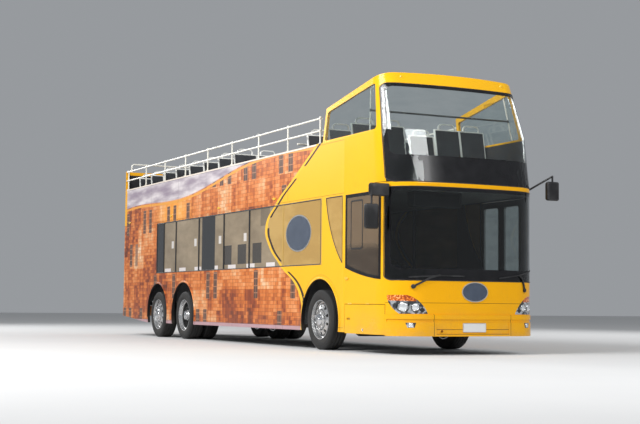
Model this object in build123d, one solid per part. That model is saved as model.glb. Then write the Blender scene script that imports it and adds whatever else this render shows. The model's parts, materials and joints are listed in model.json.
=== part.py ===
from build123d import *
import math
import os

# Open top double decker bus, in millimetres. X runs forward, Y to the bus's left and Z up.
# The origin is on the ground under the middle of the bus's outer box.

# Layout along the bus
body_width = 2500
front_overhang = 2405
wheelbase = 5945
tag_spacing = 1500
rear_overhang = 2400
front_x = (front_overhang + wheelbase + tag_spacing + rear_overhang) / 2
front_axle_x = front_x - front_overhang
drive_axle_x = front_axle_x - wheelbase
tag_axle_x = drive_axle_x - tag_spacing
rear_x = tag_axle_x - rear_overhang
side_y = body_width / 2
bumper_stand = 20
cowl_x = front_x - bumper_stand
tail_x = rear_x + bumper_stand

# Levels above the ground
skirt_z = 287
bumper_z = 262
bumper_top_z = 560
sill_z = 1300
deck_z = 2390
rail_base_z = 3160
header_z = 4035
window_top_z = deck_z - 93
header_corner_z = header_z - 70
rear_wall_z = rail_base_z + 410
low_floor_z = 420
high_floor_z = 760
engine_floor_z = 1260
step_z = 590

# Clearances
fit = 0.3
running_gap = 6
over = 1

# Thicknesses
wall_t = 50
glass_t = 12
floor_t = 40
deck_t = 90
box_t = 25

# Front end: bowed face, round corners that tighten towards the header, straight sides
nose_bow_r = 6400
nose_corner_r = 560
waist_corner_r = 420
header_corner_r = 250
waist_lean = 210
header_lean = 575
header_inset = 100
nose_reach = 900
lower_split_right_x = front_x - 1595
lower_split_left_x = front_x - 1705
frame_rear_x = front_x - 2320
front_stations = (
    # level, lean of the tip, half width, corner radius
    (deck_z, 0, side_y, nose_corner_r),
    (rail_base_z, waist_lean, side_y, waist_corner_r),
    (header_z, header_lean, side_y - header_inset, header_corner_r),
)

# Rear end
rear_corner_r = 150
rear_split_x = rear_x + 225
tail_rise_x = rear_x + 1730
tail_rise = 115
rear_bumper_top_z = 600

# Wheels and tyres
tyre_r = 458
tyre_w = 275
rim_r = 300
bead_r = 287
wheel_stand_in = 15
wheel_y = side_y - wheel_stand_in - tyre_w / 2
twin_gap = 40
twin_y = wheel_y - tyre_w - twin_gap
twin_middle = -(tyre_w + twin_gap) / 2
spindle_r = 40
bore_clearance = 0.5
kingpin_y = 880
kingpin_r = 26
kingpin_play = 0.7
drum_r = 205

# Wheel arches: radius, centre height and lead ahead of the axle
front_arch_r = 640
front_arch_z = 434
front_arch_lead = 40
drive_arch_r = 620
drive_arch_z = 471
tag_arch_r = 600
tag_arch_z = 478
arch_margin = 20
box_inner_y = 600
box_top_z = 1125
floor_step_x = drive_axle_x + drive_arch_r + 120
engine_step_x = tag_axle_x - tag_arch_r - 150
step_run = 300


def block(x0, x1, y0, y1, z0, z1):
    """A box between two opposite corners."""
    return Pos((x0 + x1) / 2, (y0 + y1) / 2, (z0 + z1) / 2) * Box(x1 - x0, y1 - y0, z1 - z0)


def panel(*points):
    """A flat outline through corner points."""
    return make_face(Polyline(*points, close=True))


def rounded(x0, x1, z0, z1, r):
    """A flat rectangle with round corners."""
    return Pos((x0 + x1) / 2, (z0 + z1) / 2) * RectangleRounded(x1 - x0, z1 - z0, r)


def round_near(outline, point, r):
    """An outline with the corner nearest to a point rounded."""
    return fillet(outline.vertices().sort_by_distance((*point, 0))[0], r)


def across(outline, y0, y1):
    """An outline in X and Z carried across the bus from y0 to y1."""
    return extrude(Plane((0, y1, 0), x_dir=(1, 0, 0), z_dir=(0, -1, 0)) * outline, y1 - y0)


def along(outline, x0, x1):
    """An outline in Y and Z carried along the bus from x0 to x1."""
    return extrude(Plane((x0, 0, 0), x_dir=(0, 1, 0), z_dir=(1, 0, 0)) * outline, x1 - x0)


def upward(outline, z0, z1):
    """An outline in X and Y carried up from z0 to z1."""
    return extrude(Pos(0, 0, z0) * outline, z1 - z0)


def rod(x, y0, y1, z, r):
    """A round bar across the bus."""
    return across(Pos(x, z) * Circle(r), min(y0, y1), max(y0, y1))


def shaft(x0, x1, y, z, r):
    """A round bar along the bus."""
    return along(Pos(y, z) * Circle(r), x0, x1)


def post(x, y, z0, z1, r):
    """A round upright."""
    return upward(Pos(x, y) * Circle(r), z0, z1)


def straight_tube(start, end, r):
    """A round bar between two points."""
    run = Vector(*end) - Vector(*start)
    return extrude(Plane(start, z_dir=run.normalized()) * Circle(r), run.length)


def bent_tube(points, bend_r, r):
    """A round bar along straight runs joined by bends of one radius."""
    run = Vector(*points[1]) - Vector(*points[0])
    return sweep(Plane(points[0], z_dir=run.normalized()) * Circle(r), path=FilletPolyline(*points, radius=bend_r))


def ribbon(path, thickness):
    """A flat strip of one thickness along a bent path of points."""
    left = []
    right = []
    for i, (u, v) in enumerate(path):
        before = path[max(i - 1, 0)]
        after = path[min(i + 1, len(path) - 1)]
        run = math.hypot(after[0] - before[0], after[1] - before[1])
        nu = (before[1] - after[1]) / run * thickness / 2
        nv = (after[0] - before[0]) / run * thickness / 2
        left.append((u + nu, v + nv))
        right.append((u - nu, v - nv))
    return panel(*left, *reversed(right))


def mirrored(shape):
    """The same piece on the other side of the bus."""
    return mirror(shape, about=Plane.XZ)


def both_sides(shape):
    """A piece and its mirror image."""
    return [shape, mirrored(shape)]


def all_of(shapes):
    """Several solids as one shape, whether they touch or not."""
    total = shapes[0]
    for shape in shapes[1:]:
        total = total + shape
    return total


def nose_outline(half, tip, back, inset, corner_r):
    """Plan of the front end, drawn a set distance inside its outer face."""
    centre = tip - nose_bow_r
    corner_y = half - corner_r
    corner_x = centre + math.sqrt((nose_bow_r - corner_r) ** 2 - corner_y ** 2)
    corner = corner_r - inset
    turn = math.atan2(corner_y, corner_x - centre)
    middle = (turn + math.pi / 2) / 2
    side = (corner_x, corner_y + corner)
    knee = (corner_x + corner * math.cos(middle), corner_y + corner * math.sin(middle))
    join = (corner_x + corner * math.cos(turn), corner_y + corner * math.sin(turn))
    far_side, far_knee, far_join = ((x, -y) for x, y in (side, knee, join))
    rear = (back, half - inset)
    far_rear = (back, inset - half)
    return make_face([
        Line(rear, side),
        ThreePointArc(side, knee, join),
        ThreePointArc(join, (tip - inset, 0), far_join),
        ThreePointArc(far_join, far_knee, far_side),
        Line(far_side, far_rear),
        Line(far_rear, rear),
    ])


def nose_solid(z0, z1, back, inset=0, tip=cowl_x):
    """The upright front end's form between two levels, drawn inside or outside its face."""
    return upward(nose_outline(side_y, tip, back, inset, nose_corner_r), z0, z1)


def nose_shell(z0, z1, back, outer=0, inner=wall_t, tip=cowl_x):
    """The upright front end's wall, open at the rear, between two depths below its face."""
    return nose_solid(z0, z1, back, outer, tip) - nose_solid(z0, z1, back - wall_t, inner, tip)


def corner_plane(half, z):
    """The plane square to the front's right corner, at a distance from the bus's middle."""
    corner_y = side_y - nose_corner_r
    centre = cowl_x - nose_bow_r
    corner_x = centre + math.sqrt((nose_bow_r - nose_corner_r) ** 2 - corner_y ** 2)
    turn = math.asin((half - corner_y) / nose_corner_r)
    normal = (math.cos(turn), -math.sin(turn), 0)
    origin = (corner_x + nose_corner_r * normal[0], nose_corner_r * normal[1] - corner_y, z)
    return Plane(origin, z_dir=normal)


def leaning_solid(low, high, back, inset=0):
    """The upper deck's leaning front between two stations of the table."""
    sections = []
    for z, lean, half, corner_r in (front_stations[low], front_stations[high]):
        sections.append(Pos(0, 0, z) * nose_outline(half, cowl_x - lean, back, inset, corner_r))
    return loft(sections, ruled=True)


def leaning_shell(low, high, back, inner=wall_t):
    """The upper deck's leaning wall between two stations of the table."""
    return leaning_solid(low, high, back) - leaning_solid(low, high, back - wall_t, inner)


def rear_solid(z0, z1, inset=0, front=rear_split_x, tail=tail_x):
    """The rear end's outer form between two levels."""
    outline = panel((tail + inset, side_y - inset), (front, side_y - inset),
                    (front, inset - side_y), (tail + inset, inset - side_y))
    corners = outline.vertices().sort_by(Axis.X)[:2]
    return upward(fillet(corners, rear_corner_r - inset), z0, z1)


# Window outlines. Each is cut from its wall, and its pane is the same outline less the glazing gap.
pillar = 50
pane_r = 40
band_front_x = front_x - 2335
band_rear_x = rear_x + 2300
pane_widths = (444, 700, 1262, 1248, 1164, 1382, 1415)
driver_window_x = (lower_split_right_x + 60, front_x - 490)
driver_sill_z = (1230, 1050)
windscreen_half = 1213
windscreen_z = (1040, deck_z - 55)
windscreen_r = 60
quarter_x = (lower_split_right_x - 590, lower_split_right_x - 45)
quarter_sweep = 0.32
rear_window_half = 900
rear_window_z = (1450, 2250)
rear_window_r = 60
screen_foot_half = 1205
screen_head_half = 1135
screen_foot_z = deck_z + 22
screen_head_z = header_z - 185
screen_head_r = 95
side_glass_gap = 20
side_bar = 62
side_bar_rear_z = header_z - 345
side_glass_rear_z = side_bar_rear_z - 65
side_glass_head_z = header_corner_z - 95
side_glass_front_x = (front_x - 630, front_x - 815)
side_glass_r = 45
side_peak_x = front_x - 850


def pane_edges():
    """Where the saloon's window pillars stand, from the rear forward."""
    stretch = (band_front_x - band_rear_x) / sum(pane_widths)
    edges = [band_rear_x]
    for width in pane_widths:
        edges.append(edges[-1] + width * stretch)
    return edges


def saloon_pane(x0, x1, gap=0):
    """One saloon window between two pillars."""
    return rounded(x0 + pillar / 2 + gap, x1 - pillar / 2 - gap, sill_z + gap, window_top_z - gap, pane_r)


def quarter_pane(gap=0):
    """The quarter light ahead of the stairs, with its swept rear edge."""
    x0 = quarter_x[0] + gap
    x1 = quarter_x[1] - gap
    z0 = sill_z + gap
    z1 = window_top_z - gap
    sweep_at = (x0 + quarter_sweep * (x1 - x0), (z0 + z1) / 2 - 20)
    return make_face([
        Line((x0, z1), (x1, z1)),
        Line((x1, z1), (x1, z0)),
        ThreePointArc((x1, z0), sweep_at, (x0, z1)),
    ])


def driver_pane(gap=0):
    """The driver's side window, deeper towards the front."""
    x0 = driver_window_x[0] + gap
    x1 = driver_window_x[1] - gap
    z1 = window_top_z - gap
    z_rear = driver_sill_z[0] + gap
    z_front = driver_sill_z[1] + gap
    dip = ((x0 + x1) / 2, (z_rear + z_front) / 2 - 25)
    return make_face([
        Line((x0, z1), (x1, z1)),
        Line((x1, z1), (x1, z_front)),
        ThreePointArc((x1, z_front), dip, (x0, z_rear)),
        Line((x0, z_rear), (x0, z1)),
    ])


def windscreen_cut(gap=0):
    """The lower windscreen's opening, seen from ahead."""
    return rounded(gap - windscreen_half, windscreen_half - gap, windscreen_z[0] + gap, windscreen_z[1] - gap,
                   windscreen_r)


def upper_screen_cut(gap=0):
    """The upper windscreen's opening, seen from ahead, which narrows above the waist."""
    foot = screen_foot_half - gap
    head = screen_head_half - gap
    z0 = screen_foot_z + gap
    z1 = screen_head_z - gap
    outline = panel((-foot, z0), (foot, z0), (foot, rail_base_z), (head, z1), (-head, z1), (-foot, rail_base_z))
    outline = round_near(outline, (head, z1), screen_head_r)
    return round_near(outline, (-head, z1), screen_head_r)


def side_frame_glass(gap=0):
    """The upper side glass, whose top edge climbs to the header."""
    x0 = frame_rear_x + side_bar + gap
    z0 = rail_base_z + side_glass_gap + gap
    corners = ((x0, z0), (side_glass_front_x[0] - gap, z0), (side_glass_front_x[1] - gap, side_glass_head_z - gap),
               (x0, side_glass_rear_z - gap))
    outline = panel(*corners)
    for corner in corners:
        outline = round_near(outline, corner, side_glass_r)
    return outline


def rear_window(gap=0):
    """The saloon's rear window."""
    return rounded(gap - rear_window_half, rear_window_half - gap, rear_window_z[0] + gap,
                   rear_window_z[1] - gap, rear_window_r)


# Hinges: barrels on the axis, the moving one between two fixed ones
barrel_r = 8
barrel_len = 60
barrel_end = 30
barrel_play = 1.2


def barrel(axis_at, direction, start, end, r):
    """A round barrel on an axis line, between two distances along it."""
    origin = tuple(a + start * d for a, d in zip(axis_at, direction))
    return extrude(Plane(origin, z_dir=direction) * Circle(r), end - start)


def with_moving_barrels(leaf, axis_at, direction, starts):
    """A moving leaf with its hinge barrels, and with room for the fixed ones beside them."""
    for start in starts:
        end = start + barrel_len
        for a, b in ((start - barrel_end, start), (end, end + barrel_end)):
            leaf -= barrel(axis_at, direction, a - barrel_play, b + barrel_play, barrel_r + barrel_play)
        leaf += barrel(axis_at, direction, start, end, barrel_r)
    return leaf


def with_fixed_barrels(wall, axis_at, direction, starts):
    """A fixed wall with its hinge barrels, and with room for the moving ones between them."""
    for start in starts:
        end = start + barrel_len
        wall -= barrel(axis_at, direction, start - fit, end + fit, barrel_r + barrel_play)
        for a, b in ((start - barrel_end, start - fit), (end + fit, end + barrel_end)):
            wall += barrel(axis_at, direction, a, b, barrel_r)
    return wall


# Doors, lid and flap
door_x = (front_x - 1685, front_x - 585)
door_z = (330, 2290)
door_t = 40
flap_x = (lower_split_right_x + 55, front_x - 410)
flap_top_z = 695
flap_t = 30
bumper_x = door_x[1]
lid_half = 720
lid_z = (rear_bumper_top_z + 30, 1260)
lid_t = 40
lid_corner_r = 30
pull_x = (front_x - 1480, front_x - 1370)
pull_z = (468, 500)
pull_depth = 12
# Hinge lines: a point on the axis, its direction and where each moving barrel starts along it
door_front_hinge = ((door_x[1], side_y, 0), (0, 0, 1), (700, 2050))
door_rear_hinge = ((door_x[0], side_y, 0), (0, 0, 1), (700, 2050))
lid_hinge = ((tail_x, 0, lid_z[1] + running_gap), (0, 1, 0), (-530, 470))
flap_hinge = ((0, -side_y, flap_top_z + running_gap), (1, 0, 0), (front_x - 1400, front_x - 860))


def lid_outline(gap=0):
    """The engine opening, seen from behind."""
    return rounded(-lid_half - gap, lid_half + gap, lid_z[0] - gap, lid_z[1] + gap, lid_corner_r)


# Front face: lamps, fog lamps, bumper relief and the towing socket
# Headlamp corners from its outer top round to its outer edge: distance from the middle, and level
lamp_half = (1195, 1000, 840, 722, 1085, 1150)
lamp_z = (830, 832, 735, 572, 570, 650)
lamp_depth = 40
lamp_rear_x = flap_x[1] + 30
bowls = (
    # distance from the middle, level, radius
    (1045, 666, 66),
    (898, 664, 54),
)
bowl_depth = 26
fog_half = (1028, 895)
fog_z = (380, 450)
fog_slant = 22
crease_z = (457, 497)
crease_depth = 12
plate_recess_half = 600
plate_recess_z = (300, 457)
plate_recess_depth = 8
tow_socket_y = -520
tow_socket_z = 330
tow_socket_r = 20
tow_boss_r = 32
tow_boss_x = (front_x - 97, front_x - 17)


def headlamp_outline(gap=0):
    """A headlamp seen from ahead: flat top, bulged upper edge down to its inner tip, straight foot."""
    top_outer = (gap - lamp_half[0], lamp_z[0] - gap)
    top_inner = (-lamp_half[1], lamp_z[1] - gap)
    brow = (-lamp_half[2] - gap, lamp_z[2] - gap)
    tip = (-lamp_half[3] - 2 * gap, lamp_z[3] + gap)
    foot = (-lamp_half[4], lamp_z[4] + gap)
    outer = (gap - lamp_half[5], lamp_z[5])
    return make_face([
        Line(top_outer, top_inner),
        ThreePointArc(top_inner, brow, tip),
        Line(tip, foot),
        ThreePointArc(foot, outer, top_outer),
    ])


def fog_outline(gap=0):
    """A fog lamp seen from ahead, wider at the top."""
    return panel((gap - fog_half[0], fog_z[1] - gap), (-fog_half[1] - gap, fog_z[1] - gap),
                 (-fog_half[1] - fog_slant - gap, fog_z[0] + gap), (fog_slant - fog_half[0] + gap, fog_z[0] + gap))


def lamp_body(gap):
    """The right headlamp's body with a gap round it, as deep as the wall allows."""
    lamp = nose_shell(lamp_z[4] - 20, lamp_z[1] + 20, lower_split_left_x, inner=lamp_depth + fit - gap)
    lamp = lamp & along(headlamp_outline(gap), front_x - nose_reach, front_x + over)
    return lamp & block(lamp_rear_x + gap, front_x, -side_y, 0, 0, deck_z)


def fog_body(gap):
    """The right fog lamp's body with a gap round it."""
    lamp = nose_shell(fog_z[0] - 20, fog_z[1] + 20, lower_split_left_x, inner=lamp_depth + fit - gap, tip=front_x)
    return lamp & along(fog_outline(gap), front_x - nose_reach, front_x + over)


def lower_front():
    """The wall round the cab and entrance, with its windows, door opening and flap opening cut."""
    shell = nose_shell(bumper_top_z, deck_z, lower_split_left_x)
    skirt = nose_shell(skirt_z, bumper_top_z, lower_split_left_x)
    skirt -= block(bumper_x, front_x + over, -side_y - over, side_y + over, 0, bumper_top_z + over)
    shell += skirt
    shell -= block(lower_split_left_x - over, lower_split_right_x, -side_y - over, 0, 0, deck_z + over)
    shell -= along(windscreen_cut(), front_x - nose_reach, front_x + over)
    shell -= across(driver_pane(), -side_y - over, 2 * wall_t - side_y)
    shell -= block(door_x[0], door_x[1], 0, side_y + over, 0, door_z[1])
    shell -= block(flap_x[0] - running_gap, flap_x[1] + running_gap, -side_y - over, 0, 0,
                   flap_top_z + running_gap)
    for lamp in both_sides(lamp_body(0)):
        shell -= lamp
    shell = with_fixed_barrels(shell, *door_front_hinge)
    shell = with_fixed_barrels(shell, *door_rear_hinge)
    return with_fixed_barrels(shell, *flap_hinge)


def front_bumper():
    """The bumper from corner to corner, with its crease, plate recess, fog lamp holes and towing socket."""
    shell = nose_shell(bumper_z, bumper_top_z - fit, lower_split_left_x, tip=front_x)
    shell = shell & block(bumper_x, front_x + over, -side_y - over, side_y + over, 0, deck_z)
    shell -= block(bumper_x - over, flap_x[1] + running_gap, -side_y - over, 0, 0, deck_z)
    crease = nose_shell(crease_z[0], crease_z[1], lower_split_left_x, outer=-over, inner=crease_depth, tip=front_x)
    shell -= crease & block(lamp_rear_x, front_x + 2 * over, -side_y, side_y, 0, deck_z)
    recess = nose_shell(plate_recess_z[0], plate_recess_z[1], lower_split_left_x, outer=-over,
                        inner=plate_recess_depth, tip=front_x)
    shell -= recess & block(front_x - nose_reach, front_x + 2 * over, -plate_recess_half, plate_recess_half,
                            0, deck_z)
    for lamp in both_sides(fog_body(0)):
        shell -= lamp
    shell += shaft(tow_boss_x[0], tow_boss_x[1], tow_socket_y, tow_socket_z, tow_boss_r)
    return shell - shaft(front_x - 400, front_x + over, tow_socket_y, tow_socket_z, tow_socket_r)


def rear_bumper():
    """The bumper round the tail below the engine lid."""
    z0 = skirt_z + tail_rise
    shell = rear_solid(z0, rear_bumper_top_z, 0, rear_split_x, rear_x)
    shell -= rear_solid(0, header_z, wall_t, rear_split_x + over, rear_x)
    return shell


def headlamps():
    """Headlamps with their round bowls, and the fog lamps, all flush with the front."""
    lamp = lamp_body(fit)
    for half, z, r in bowls:
        lamp -= extrude(corner_plane(half, z) * Circle(r), bowl_depth / 2, both=True)
    return Compound(both_sides(lamp) + both_sides(fog_body(fit)))


def service_flap():
    """The flap over the batteries and fillers at the front right corner, with its finger pull."""
    shell = nose_shell(bumper_z + 12, flap_top_z, lower_split_left_x, inner=flap_t)
    flap = shell & block(flap_x[0], flap_x[1], -side_y - over, 0, 0, deck_z)
    pull = across(rounded(*pull_x, *pull_z, 10), -side_y - over, pull_depth - side_y)
    return with_moving_barrels(flap - pull, *flap_hinge)


def side_outline():
    """A body side seen from the side, with the tail's rising skirt and the wheel arches."""
    x1 = lower_split_right_x
    outline = panel((rear_split_x, skirt_z + tail_rise), (tail_rise_x, skirt_z), (x1, skirt_z),
                    (x1, rail_base_z), (rear_split_x, rail_base_z))
    outline -= Pos(front_axle_x + front_arch_lead, front_arch_z) * Circle(front_arch_r)
    outline -= Pos(drive_axle_x, drive_arch_z) * Circle(drive_arch_r)
    outline -= Pos(tag_axle_x, tag_arch_z) * Circle(tag_arch_r)
    return outline


def body_side(left):
    """One body side with its window openings."""
    outline = side_outline()
    edges = pane_edges()
    for x0, x1 in zip(edges, edges[1:]):
        outline -= saloon_pane(x0, x1)
    outline -= quarter_pane()
    wall = across(outline, side_y - wall_t, side_y)
    if not left:
        return mirrored(wall)
    return wall - block(lower_split_left_x, lower_split_right_x + over, 0, side_y + over, 0, deck_z)


glass_set_in = 4
tail_lamp_y = 1040
tail_lamp_r = 52
tail_lamp_z = (900, 1040, 1180)


def tail_lamp_set(gap, depth):
    """The round lamps at the rear, or the holes they sit in."""
    return [shaft(tail_x, tail_x + depth, side * tail_lamp_y, z, tail_lamp_r + gap)
            for side in (1, -1) for z in tail_lamp_z]


def rear_end():
    """The rear wall and corners, with the engine opening and the rear window."""
    z0 = rear_bumper_top_z + fit
    shell = rear_solid(z0, rail_base_z) - rear_solid(0, header_z, wall_t, rear_split_x + over)
    upper = rear_solid(rail_base_z, rear_wall_z) - rear_solid(0, header_z, wall_t, rear_split_x + over)
    shell += upper & block(tail_x, tail_x + rear_corner_r, -side_y, side_y, 0, header_z)
    shell -= along(lid_outline(running_gap), tail_x - over, tail_x + wall_t + over)
    shell -= along(rear_window(), tail_x - over, tail_x + wall_t + over)
    for hole in tail_lamp_set(fit, wall_t):
        shell -= hole
    return with_fixed_barrels(shell, *lid_hinge)


def upper_front():
    """The upper deck's front frame: corner pillars, waist panels, side frames and header."""
    low = leaning_shell(0, 1, lower_split_right_x)
    high = leaning_shell(1, 2, frame_rear_x)
    z0 = rail_base_z - over
    z1 = header_z + over
    profile = panel((frame_rear_x - over, z0), (frame_rear_x - over, side_bar_rear_z),
                    (side_peak_x, header_corner_z), (cowl_x - header_lean, z1), (front_x + over, z1),
                    (front_x + over, z0))
    high = high & across(profile, -side_y - over, side_y + over)
    shell = low + high
    shell -= along(upper_screen_cut(), front_x - nose_reach - header_lean, front_x + over)
    shell -= across(side_frame_glass(), -side_y - over, side_y + over)
    return shell


def upper_glass():
    """The upper windscreen and the glass of both side frames, as separate panes."""
    low = leaning_shell(0, 1, lower_split_right_x, glass_t)
    high = leaning_shell(1, 2, frame_rear_x, glass_t)
    screen = (low + high) & along(upper_screen_cut(fit), front_x - nose_reach, front_x + over)
    left = high & across(side_frame_glass(fit), 0, side_y + over)
    return Compound([screen, left, mirrored(left)])


def lower_windscreen():
    """The windscreen, bowed with the front end."""
    shell = nose_shell(windscreen_z[0], windscreen_z[1], lower_split_left_x, inner=glass_t)
    return shell & along(windscreen_cut(fit), front_x - nose_reach, front_x + over)


def saloon_glass():
    """Side panes, quarter lights, the driver's window and the rear window, each a separate pane."""
    y1 = side_y - glass_set_in
    edges = pane_edges()
    panes = [across(saloon_pane(x0, x1, fit), y1 - glass_t, y1) for x0, x1 in zip(edges, edges[1:])]
    panes += [mirrored(pane) for pane in panes]
    panes.append(across(quarter_pane(fit), -y1, glass_t - y1))
    cab = nose_shell(driver_sill_z[1] - 60, window_top_z, lower_split_left_x, inner=glass_t)
    panes.append(cab & across(driver_pane(fit), -side_y - over, 2 * wall_t - side_y))
    panes.append(along(rear_window(fit), tail_x + glass_set_in, tail_x + glass_set_in + glass_t))
    return Compound(panes)


# Saloon floor: flat panels on separate levels, and the boxes over the wheels
inner_y = side_y - wall_t - fit
box_spans = (
    # rear face, front face, underside
    (front_axle_x + front_arch_lead - front_arch_r - arch_margin,
     front_axle_x + front_arch_lead + front_arch_r + arch_margin, low_floor_z - floor_t),
    (tag_axle_x - tag_arch_r - arch_margin, drive_axle_x + drive_arch_r + arch_margin, high_floor_z - floor_t),
)
between_boxes_y = box_inner_y - box_t - fit


def wheel_boxes():
    """The boxes over the wheels, open towards them."""
    boxes = []
    for x0, x1, z0 in box_spans:
        box = block(x0 - box_t, x1 + box_t, box_inner_y - box_t, inner_y, z0, box_top_z)
        box -= block(x0, x1, box_inner_y, inner_y + over, 0, box_top_z - box_t)
        boxes += both_sides(box)
    return Compound(boxes)


def floor_panel(x0, x1, z0, z1, half=inner_y):
    """One flat floor panel or riser across the saloon, trimmed to the nose and the tail."""
    slab = block(x0 + fit, x1 - fit, -half, half, z0, z1)
    inset = wall_t + fit
    return slab & nose_solid(0, deck_z, rear_x, inset) & rear_solid(0, deck_z, inset, front_x)


def lower_floor():
    """The saloon floor: engine deck, raised rear floor, step and low floor, as panels with their risers."""
    front_box, rear_box = [(x0 - box_t, x1 + box_t) for x0, x1, z0 in box_spans]
    high = (high_floor_z - floor_t, high_floor_z)
    low = (low_floor_z - floor_t, low_floor_z)
    return Compound([
        floor_panel(tail_x, engine_step_x, engine_floor_z - floor_t, engine_floor_z),
        floor_panel(engine_step_x - floor_t, engine_step_x, high[0], engine_floor_z - floor_t - fit),
        floor_panel(engine_step_x, rear_box[0], *high),
        floor_panel(*rear_box, *high, between_boxes_y),
        floor_panel(rear_box[1], floor_step_x, *high),
        floor_panel(floor_step_x - floor_t, floor_step_x, low[0], high[0] - fit),
        floor_panel(floor_step_x, floor_step_x + step_run, low[0], step_z),
        floor_panel(floor_step_x + step_run, front_box[0], *low),
        floor_panel(*front_box, *low, between_boxes_y),
        floor_panel(front_box[1], front_x, *low),
    ])


# Stairs: a straight flight behind the cab that rises to the rear
stair_x = (front_x - 5025, front_x - 3125)
stair_y = (wall_t + 5 - side_y, -560)
stair_steps = 9
tread_t = 45
stairwell_x = (stair_x[0], stair_x[1] - 300)
guard_y = stair_y[1] + 22
guard_r = 16
guard_post_r = 19
guard_h = 900


def upper_floor():
    """The upper deck's floor with its stairwell."""
    inset = wall_t + fit
    plan = nose_solid(deck_z - deck_t, deck_z, rear_x, inset) & rear_solid(0, header_z, inset, front_x)
    return plan - block(*stairwell_x, stair_y[0] - over, stair_y[1] + fit, 0, header_z)


def stairs():
    """The flight: treads and risers of one thickness."""
    rise = (deck_z - low_floor_z) / stair_steps
    going = (stair_x[1] - stair_x[0]) / (stair_steps - 1)
    top = []
    under = []
    for i in range(stair_steps - 1):
        x = stair_x[1] - i * going
        z = low_floor_z + (i + 1) * rise
        foot = z - rise + fit if i == 0 else z - rise - tread_t
        top += [(x, z - rise + fit), (x, z)]
        under += [(x - tread_t, foot), (x - tread_t, z - tread_t)]
    last_z = low_floor_z + (stair_steps - 1) * rise
    top.append((stair_x[0] + fit, last_z))
    under.append((stair_x[0] + fit, last_z - tread_t))
    return across(panel(*top, *reversed(under)), *stair_y)


def stair_guard():
    """The rails round the stairwell on the upper deck."""
    z0 = deck_z + fit
    z1 = deck_z + guard_h
    x1 = stairwell_x[1] + 40
    tubes = [post(x, guard_y, z0, z1, guard_post_r) for x in (stairwell_x[0], (stairwell_x[0] + x1) / 2, x1)]
    for z in (z1 - 2 * guard_r, z1 - guard_h / 2):
        tubes.append(shaft(stairwell_x[0] - guard_r, x1 + 2 * guard_r, guard_y, z, guard_r))
        tubes.append(rod(x1, stair_y[0] + guard_r, guard_y, z, guard_r))
    return all_of(tubes)


# Chassis
rail_y = (380, 460)
rail_low_z = (300, low_floor_z - floor_t - fit)
rail_high_z = (620, high_floor_z - floor_t - fit)
rail_tail_z = (430, 510)
rail_kick = 90
rail_x = (rear_x + wall_t + fit, front_x - 330)
kick_x = floor_step_x - floor_t - fit
drop_x = engine_step_x - floor_t - 100
cross_front_x = (front_x - 400, front_axle_x - 900, front_x - 4625, front_x - 5825, floor_step_x + 200)
cross_rear_x = (drive_axle_x + 330, tag_axle_x - 500)
cross_half = 40
outrigger_half = 30
cradle_z = 420
engine_x = (rear_x + 240, rear_x + 1340)
engine_top_z = 1150


def chassis_frame():
    """Two kicked-up rails with their cross members and outriggers."""
    low = rail_low_z
    high = rail_high_z
    tail = rail_tail_z
    profile = panel(
        (rail_x[0], tail[0]), (drop_x, tail[0]), (drop_x, high[0]), (kick_x - rail_kick, high[0]),
        (kick_x - rail_kick, low[0]), (rail_x[1], low[0]), (rail_x[1], low[1]), (kick_x, low[1]), (kick_x, high[1]),
        (drop_x - rail_kick, high[1]), (drop_x - rail_kick, tail[1]), (rail_x[0], tail[1]))
    frame = all_of(both_sides(across(profile, *rail_y)))
    for x in cross_front_x:
        frame += block(x - cross_half, x + cross_half, -rail_y[0], rail_y[0], low[0] + 8, low[1] - 8)
        reach = inner_y if x < bumper_x else side_y - 3 * wall_t
        frame += both_sides(block(x - outrigger_half, x + outrigger_half, rail_y[1] - 10, reach, low[0] + 20,
                                  low[1] - 5))
    for x in cross_rear_x:
        frame += block(x - cross_half, x + cross_half, -rail_y[0], rail_y[0], high[0] + 10, high[1] - 10)
    frame += block(rail_x[0] + 80, rail_x[0] + 160, -rail_y[0], rail_y[0], tail[0] + 5, tail[1] - 5)
    return frame


def engine_block():
    """The engine as one plain block in its cradle."""
    return block(*engine_x, fit - rail_y[0], rail_y[0] - fit, cradle_z, engine_top_z)


# Axles
spring_y = 420
front_spring_r = 90
rear_spring_r = 100
rear_spring_spread = 330
beam_y = kingpin_y - 60
beam_web = 80
beam_z = (205, 285)
eye_z = (400, 516)
eye_r = 62
fork_gap = 5
fork_half = 45
fork_inner = 38
spring_beam_z = (tyre_r - 95, tyre_r + 5)
spring_beam_half = 430
banjo_r = 185
axle_tube_r = 85
drum_y = (box_inner_y, 860)
prop_r = 45


def front_axle():
    """The dropped front beam with its kingpin eyes and spring pads."""
    profile = panel((-beam_y, 400), (-beam_y, 514), (90 - beam_y, 496), (-560, beam_z[1]), (560, beam_z[1]),
                    (beam_y - 90, 496), (beam_y, 514), (beam_y, 400), (540, beam_z[0]), (-540, beam_z[0]))
    beam = along(profile, front_axle_x - beam_web / 2, front_axle_x + beam_web / 2)
    eye = post(front_axle_x, kingpin_y, *eye_z, eye_r)
    eye += block(front_axle_x - beam_web / 2, front_axle_x + beam_web / 2, beam_y - 10, kingpin_y - 50, 405, 511)
    eye -= post(front_axle_x, kingpin_y, eye_z[0] - over, eye_z[1] + over, kingpin_r + kingpin_play)
    pad = block(front_axle_x - 110, front_axle_x + 110, spring_y - 100, spring_y + 100, beam_z[1] - 20, beam_z[1])
    return all_of([beam, *both_sides(eye), *both_sides(pad)])


def spring_beams(x):
    """The beams that carry a rear axle's four air springs."""
    return both_sides(block(x - spring_beam_half, x + spring_beam_half, spring_y - 45, spring_y + 45,
                            *spring_beam_z))


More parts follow.
